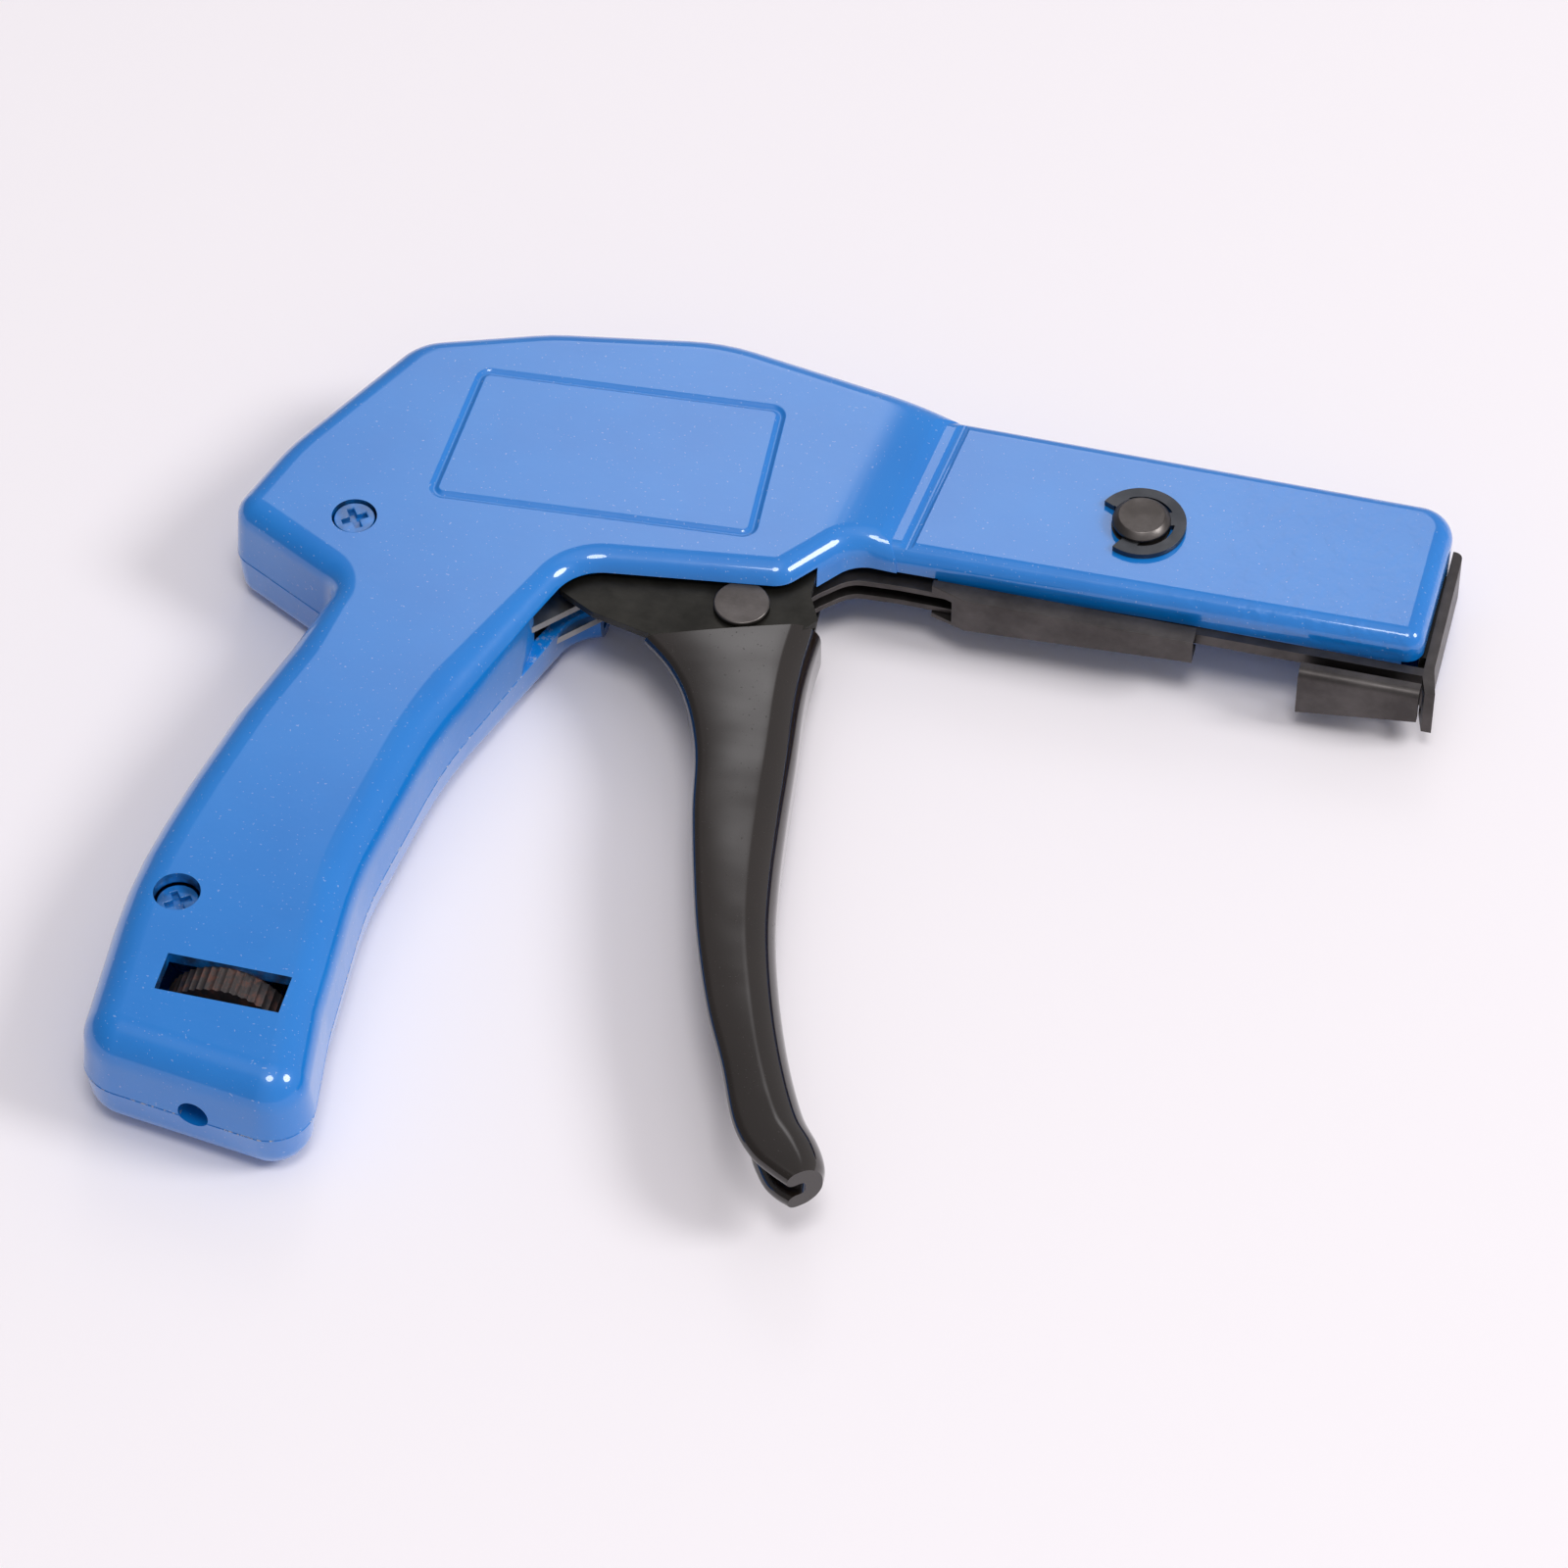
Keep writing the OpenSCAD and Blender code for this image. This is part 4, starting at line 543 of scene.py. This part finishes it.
def crease_cutter():
    """A shallow valley crosses the upper face where the body's bend meets the barrel."""
    bm = bmesh.new()
    bmesh.ops.create_cone(bm, cap_ends=True, segments=96, radius1=CREASE_R, radius2=CREASE_R,
        depth=CREASE_LEN)
    bmesh.ops.rotate(bm, matrix=Matrix.Rotation(math.pi / 2, 3, "X"), verts=bm.verts)
    bmesh.ops.rotate(bm, matrix=Matrix.Rotation(-JUNCTION_TILT, 3, "Z"), verts=bm.verts)
    bmesh.ops.translate(bm, vec=(CREASE_X, JUNCTION_Y, BARREL_TOP + CREASE_R - CREASE_DEEP), verts=bm.verts)
    return to_object(bm, "cutter")


def make_upper():
    shell, tube = shell_half("housing_upper_painted", BODY, BARREL, BODY_T, BARREL_TOP)
    cutters = shared_cutters(BODY, BARREL, SEAM_Z - OVER, BODY_T)
    cutters.append(box_cutter(*TAIL_ROOM))
    for (x, y), sink in SCREWS:
        cutters.append(round_cutter((x, y), SCREW_RECESS_R, BODY_T - sink - SCREW_HEAD_H, BODY_T + OVER))
    cutters += [groove_cutter(), crease_cutter()]
    return carve(shell, cutters, [tube])


def make_lower():
    shell, tube = shell_half("housing_lower_painted", BODY_LOW, BARREL_LOW_PLAN, 0.0, BARREL_LOW)
    cutters = shared_cutters(BODY_LOW, BARREL_LOW_PLAN, 0.0, SEAM_Z + OVER)
    cutters += [box_cutter(*LOW_MOUTH), box_cutter(*EAR_ROOM)]
    return carve(shell, cutters, [tube])


NEAR = 0.05
WORN_FRONT_X, WORN_FRONT_Y, WORN_BUTT_Y, WEAR_ELSEWHERE = -45, -30, -112, 0.15


def in_recess(x, y, z):
    screw = any(math.hypot(x - at[0], y - at[1]) < SCREW_RECESS_R + NEAR for at, sink in SCREWS)
    slot = abs(x - ROD_X) < SLOT_HALF_W + NEAR and abs(y - SLOT_Y) < SLOT_HALF_H + NEAR
    return (screw or slot) and z < BODY_T - NEAR


def mark_grime_shade_and_wear(piece):
    """Recesses get the paint darkened by grime and painted shade, and the seam is worn along the handle's
    front and butt.
    """
    piece.data.materials.append(grimy_shaded_paint)
    for face in piece.data.polygons:
        # Faces in the screw recesses and the wheel slot take the paint with grime and painted shade.
        face.material_index = int(in_recess(*(face.center / MM)))
    wear = piece.data.attributes.new("wear", "FLOAT", "POINT")
    for i, vert in enumerate(piece.data.vertices):
        x, y, z = vert.co / MM
        worn = x > WORN_FRONT_X and y < WORN_FRONT_Y or y < WORN_BUTT_Y
        wear.data[i].value = 1.0 if worn else WEAR_ELSEWHERE


upper, lower = make_upper(), make_lower()
for piece, node in ((upper, "housing_upper"), (lower, "housing_lower")):
    smooth_piece(piece, blue_paint)
    mark_grime_shade_and_wear(piece)
    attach(piece, "housing")
    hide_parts(node)
    print(piece.name, "faces:", len(piece.data.polygons))

# %% [markdown]
# The trigger's grip is a folded steel channel that was dipped in plastic. Its near wall is deep
# and its far wall is shallow, and at the tip the two are nearly the same. A section is drawn once,
# as a loop with a round lip, and then extruded along the grip through a list of stations. Between
# the stations a smooth curve fills in, because straight stretches would show in the gloss.

# %% The dipped grip
GRIP_DROP, TRIGGER_LOW, TRIGGER_TOP, TRIGGER_W = 112.0, 3.1, 14.5, 11.4
COAT, SHEET, CROWN, CROWN_STEPS = 0.6, 1.2, 0.35, 10
GRIP_BEND_R, BEND_SHARE, INNER_SHARE = 3.6, 0.45, 0.2
STATIONS = [
    (0.100, -0.170, -0.101, -0.241, 0.0, 0.60), (0.101, -0.223, -0.062, -0.276, 0.0, 0.56),
    (0.106, -0.281, -0.028, -0.325, 0.0, 0.52), (0.118, -0.366, 0.001, -0.397, 0.0, 0.46),
    (0.130, -0.460, 0.021, -0.487, 0.0, 0.40), (0.143, -0.549, 0.047, -0.583, 0.0, 0.38),
    (0.160, -0.634, 0.074, -0.671, 0.0, 0.36), (0.186, -0.721, 0.110, -0.766, 0.04, 0.34),
    (0.218, -0.806, 0.148, -0.846, 0.12, 0.40), (0.252, -0.877, 0.181, -0.922, 0.24, 0.55),
    (0.281, -0.918, 0.211, -0.961, 0.36, 0.75), (0.295, -0.946, 0.239, -0.980, 0.44, 0.90),
    (0.297, -0.964, 0.262, -0.992, 0.50, 0.95)]
BETWEEN = 6
BEND_STEPS = 9


def in_between(values, t):
    """A smooth curve through all values; t counts stations."""
    i = min(int(t), len(values) - 2)
    p = [values[max(i - 1, 0)], values[i], values[i + 1], values[min(i + 2, len(values) - 1)]]
    f = t - i
    return [0.5 * (2 * b + (c - a) * f + (2 * a - 5 * b + 4 * c - d) * f * f
        + (3 * b - a - 3 * c + d) * f * f * f) for a, b, c, d in zip(*p)]


def arc(cx, cy, r, a0, a1, steps=BEND_STEPS):
    return [(cx + r * math.cos(math.radians(a0 + (a1 - a0) * k / steps)),
        cy + r * math.sin(math.radians(a0 + (a1 - a0) * k / steps))) for k in range(steps + 1)]


def grip_section(station):
    web, lip = Vector(station[0:2]) * GRIP_DROP, Vector(station[2:4]) * GRIP_DROP
    along = (lip - web).normalized()
    depth = (lip - web).length
    top, low = TRIGGER_TOP + COAT, TRIGGER_LOW + station[4] * TRIGGER_W - COAT
    t = SHEET + 2 * COAT
    r = min(GRIP_BEND_R + COAT, BEND_SHARE * (top - low))
    q = max(r - t, INNER_SHARE * r)
    far = r + (depth - r) * station[5]
    lip_r = t / 2
    section = arc(depth - lip_r, top - lip_r, lip_r, 0, 90)
    section += [(depth - lip_r + (r + lip_r - depth) * k / CROWN_STEPS, top) for k in range(1, CROWN_STEPS)]
    section += arc(r, top - r, r, 90, 180)
    section += arc(r, low + r, r, 180, 270)
    section += arc(far - lip_r, low + lip_r, lip_r, 270, 450)
    section += arc(t + q, low + t + q, q, 270, 180) + arc(t + q, top - t - q, q, 180, 90)
    section += arc(depth - lip_r, top - lip_r, lip_r, 270, 360, BEND_STEPS - 1)[:-1]
    sag = [CROWN * (2 * u / depth - 1) ** 2 * max(0, (z - low) / (top - low)) for u, z in section]
    return [(web.x + along.x * u, web.y + along.y * u, z - s) for (u, z), s in zip(section, sag)]


def make_grip():
    bm = bmesh.new()
    index = bm.verts.layers.int.new("index")
    section = grip_section(STATIONS[0])
    ring = [bm.verts.new(p) for p in section]
    for i, vert in enumerate(ring):
        vert[index] = i
    rings = [[bm.edges.new((ring[i - 1], ring[i])) for i in range(len(ring))]]
    count = (len(STATIONS) - 1) * BETWEEN
    for k in range(1, count + 1):
        section = grip_section(in_between(STATIONS, k / BETWEEN))
        made = bmesh.ops.extrude_edge_only(bm, edges=rings[-1])["geom"]
        verts = [g for g in made if isinstance(g, bmesh.types.BMVert)]
        rings.append([g for g in made if isinstance(g, bmesh.types.BMEdge)
            and all(v in verts for v in g.verts)])
        for vert in verts:
            vert.co = section[vert[index]]
    for loop in (rings[0], rings[-1]):
        bmesh.ops.contextual_create(bm, geom=loop)
    bmesh.ops.recalc_face_normals(bm, faces=bm.faces)
    return to_object(bm, "trigger_grip_dipped")


grip = make_grip()
smooth_piece(grip, black_coat, 50)
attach(grip, "trigger")
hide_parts("trigger_grip")
print("grip faces:", len(grip.data.polygons))

# %% [markdown]
# The smaller metal pieces have the right shape already, but their edges are perfectly sharp, and
# a real edge always catches a little light. A copy of each piece is cleaned up, its flat faces
# are joined and its outer edges get a fine bevel. Inner corners stay sharp, because a bevel there
# would add metal where another piece has to pass. The copy then stands in for the original.


# %% Dress the small pieces
WELD_M, FLAT_ANGLE, SHARP_ANGLE = 0.000002, math.radians(1.0), math.radians(30)
BEVEL_SEGMENTS = 2


def dressed(node, body, material, width):
    bm = bmesh.new()
    bm.from_mesh(frame["nodes"][node].data)
    bmesh.ops.remove_doubles(bm, verts=bm.verts, dist=WELD_M)
    bmesh.ops.dissolve_limit(bm, angle_limit=FLAT_ANGLE, verts=bm.verts, edges=bm.edges)
    sharp = [e for e in bm.edges if len(e.link_faces) == 2 and e.is_convex
        and e.calc_face_angle(0) > SHARP_ANGLE]
    bmesh.ops.bevel(bm, geom=sharp, offset=width * MM, offset_type="OFFSET", affect="EDGES",
        segments=BEVEL_SEGMENTS, profile=0.5, material=-1, clamp_overlap=True)
    piece = to_object(bm, node + "_dressed", 1.0)
    smooth_piece(piece, material, 40)
    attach(piece, body)
    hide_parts(node)
    return piece


DRESSED = [
    ("trigger_lever", "trigger", black_steel, "black_steel", 0.12),
    ("link_rivet", "trigger", rivet_steel, "black_steel", 0.25),
    ("pull_link", "link", worn_steel, "black_steel", 0.15),
    ("gripper_carriage", "carriage", worn_steel, "black_steel", 0.10),
    ("nose_frame", "housing", worn_steel, "black_steel", 0.25),
    ("tie_guide", "housing", worn_steel, "black_steel", 0.20),
    ("cutoff_pivot_pin", "housing", rivet_steel, "black_steel", 0.12),
    ("retaining_clip", "housing", clip_steel, "black_steel", 0.18),
    ("shell_screws", "housing", screw_paint, "blue_paint", 0.15),
    ("adjuster_wheel", "wheel", rusty_steel, "rusty_steel", 0.06)]
for node, body, material, slot_name, width in DRESSED:
    piece = dressed(node, body, material, width)
    print(piece.name, "faces:", len(piece.data.polygons))

# %% [markdown]
# The pieces inside the tool are hardly seen. They keep their own meshes and only get a finish.

# %% Finish the hidden pieces
FINISH = {"bright_steel": bright_steel, "black_steel": black_steel, "blue_paint": blue_paint,
    "black_coat": black_coat, "rusty_steel": rusty_steel}
slot_of = {part["node"]: part["material_slot"] for part in frame["record"]["subparts"]}
for name, node in frame["nodes"].items():
    node.data.materials.clear()
    node.data.materials.append(black_steel if name == "cutter_blade" else FINISH[slot_of[name]])
print("finished nodes:", len(slot_of))

# %% [markdown]
# The table is a plain pale sheet with a hint of pink. Three lights shape the gloss. A wide soft
# panel stands low behind the tool and lies as a pale veil on the faces that look up; it is part of
# the sky, with soft edges, because a hard edge would show in flat paint. A strong round lamp on
# the right draws the bright lines along the rounded edges and throws faint shadows to the left.
# A second lamp overhead lights the rounded edges that face the trigger.
# The sky itself is darker at the left, so the round edges on that side stay a deep blue, and apart
# from the panel it is brightest straight above, which makes the shadows lighter. The camera, and
# rays that pass through something, see a plain pale background in place of this sky. Reflections
# see the sky itself, with the panel.

# %% Table and light
TABLE_COLOUR = (0.930, 0.885, 0.920, 1)
SKY_COLOUR = (0.965, 0.945, 0.965, 1)
SKY_LEFT, SKY_RIGHT, SKY_ABOVE = 0.22, 0.52, 0.4
LEFT_ENDS, RIGHT_STARTS, ABOVE_STARTS, ABOVE_FULL = -0.9, 0.1, 0.86, 0.97
TABLE_HALF_M = 4.0
PANEL_AZIMUTH, PANEL_HEIGHT = math.radians(-11.5), math.radians(40.5)
PANEL_HALF_W, PANEL_HALF_H, PANEL_SOFT_W, PANEL_SOFT_H = 0.105, 0.158, 0.15, 0.07
PANEL_STRENGTH = 2.15
LAMP_FAR = 2.30
LAMPS = [("key", (0.752, 0.026, 0.659), 0.82, 22.0), ("top", (0.12, -0.30, 0.94), 0.72, 13.0)]


def add_table():
    bm = bmesh.new()
    bmesh.ops.create_grid(bm, x_segments=1, y_segments=1, size=TABLE_HALF_M)
    table = to_object(bm, "table", 1.0)
    material, tree, shader, place = new_material("table", {
        "Base Color": TABLE_COLOUR, "Roughness": 0.75, "Specular IOR Level": 0.2})
    table.data.materials.append(material)


def add_lamp(name, way, size, watts):
    data = bpy.data.lights.new(name, "AREA")
    data.shape, data.size, data.energy = "DISK", size, watts
    lamp = bpy.data.objects.new(name, data)
    bpy.context.scene.collection.objects.link(lamp)
    lamp.location = Vector(way).normalized() * LAMP_FAR
    lamp.rotation_mode = "QUATERNION"
    lamp.rotation_quaternion = (-Vector(way)).to_track_quat("-Z", "Y")


def edge_of_panel(tree, place, axis, half, soft):
    """1 inside the panel, 0 outside, with a smooth change between."""
    across = add_node(tree, "ShaderNodeVectorMath", operation="DOT_PRODUCT")
    across.inputs[1].default_value = axis
    join(tree, place, across.inputs[0])
    fade = add_node(tree, "ShaderNodeMapRange", {"From Min": half - soft / 2,
        "From Max": half + soft / 2, "To Min": 1.0, "To Max": 0.0}, interpolation_type="SMOOTHSTEP")
    join(tree, maths(tree, "ABSOLUTE", across.outputs["Value"]), fade.inputs["Value"])
    return fade.outputs[0]


def set_world():
    world = bpy.data.worlds.new("studio")
    bpy.context.scene.world = world
    world.use_nodes = True
    tree = world.node_tree
    sa, ca = math.sin(PANEL_AZIMUTH), math.cos(PANEL_AZIMUTH)
    sh, ch = math.sin(PANEL_HEIGHT), math.cos(PANEL_HEIGHT)
    place = add_node(tree, "ShaderNodeTexCoord").outputs["Generated"]
    wide = edge_of_panel(tree, place, (ca, -sa, 0), PANEL_HALF_W, PANEL_SOFT_W)
    tall = edge_of_panel(tree, place, (-sa * sh, -ca * sh, ch), PANEL_HALF_H, PANEL_SOFT_H)
    front = add_node(tree, "ShaderNodeSeparateXYZ")
    join(tree, place, front.inputs[0])
    ahead = maths(tree, "MULTIPLY", maths(tree, "GREATER_THAN", front.outputs["Y"], 0.0),
        maths(tree, "GREATER_THAN", front.outputs["Z"], 0.0))
    panel = maths(tree, "MULTIPLY", maths(tree, "MULTIPLY", wide, tall), ahead)
    sides = add_node(tree, "ShaderNodeMapRange", {"From Min": LEFT_ENDS, "From Max": RIGHT_STARTS,
        "To Min": SKY_LEFT, "To Max": SKY_RIGHT}, interpolation_type="SMOOTHSTEP")
    join(tree, front.outputs["X"], sides.inputs["Value"])
    above = add_node(tree, "ShaderNodeMapRange", {"From Min": ABOVE_STARTS, "From Max": ABOVE_FULL,
        "To Min": 0.0, "To Max": SKY_ABOVE}, interpolation_type="SMOOTHSTEP")
    join(tree, front.outputs["Z"], above.inputs["Value"])
    strength = maths(tree, "ADD", maths(tree, "MULTIPLY", panel, PANEL_STRENGTH), sides.outputs[0])
    strength = maths(tree, "ADD", strength, above.outputs[0])
    rays = add_node(tree, "ShaderNodeLightPath")
    seen = maths(tree, "MAXIMUM", rays.outputs["Is Camera Ray"], rays.outputs["Is Transmission Ray"])
    bright = add_node(tree, "ShaderNodeBackground", {"Color": SKY_COLOUR, "Strength": 1.0})
    sky = tree.nodes["Background"]
    sky.inputs["Color"].default_value = SKY_COLOUR
    join(tree, strength, sky.inputs["Strength"])
    choose = add_node(tree, "ShaderNodeMixShader")
    join(tree, seen, choose.inputs[0])
    join(tree, sky.outputs[0], choose.inputs[1])
    join(tree, bright.outputs[0], choose.inputs[2])
    join(tree, choose.outputs[0], tree.nodes["World Output"].inputs["Surface"])


add_table()
for lamp in LAMPS:
    add_lamp(*lamp)
set_world()
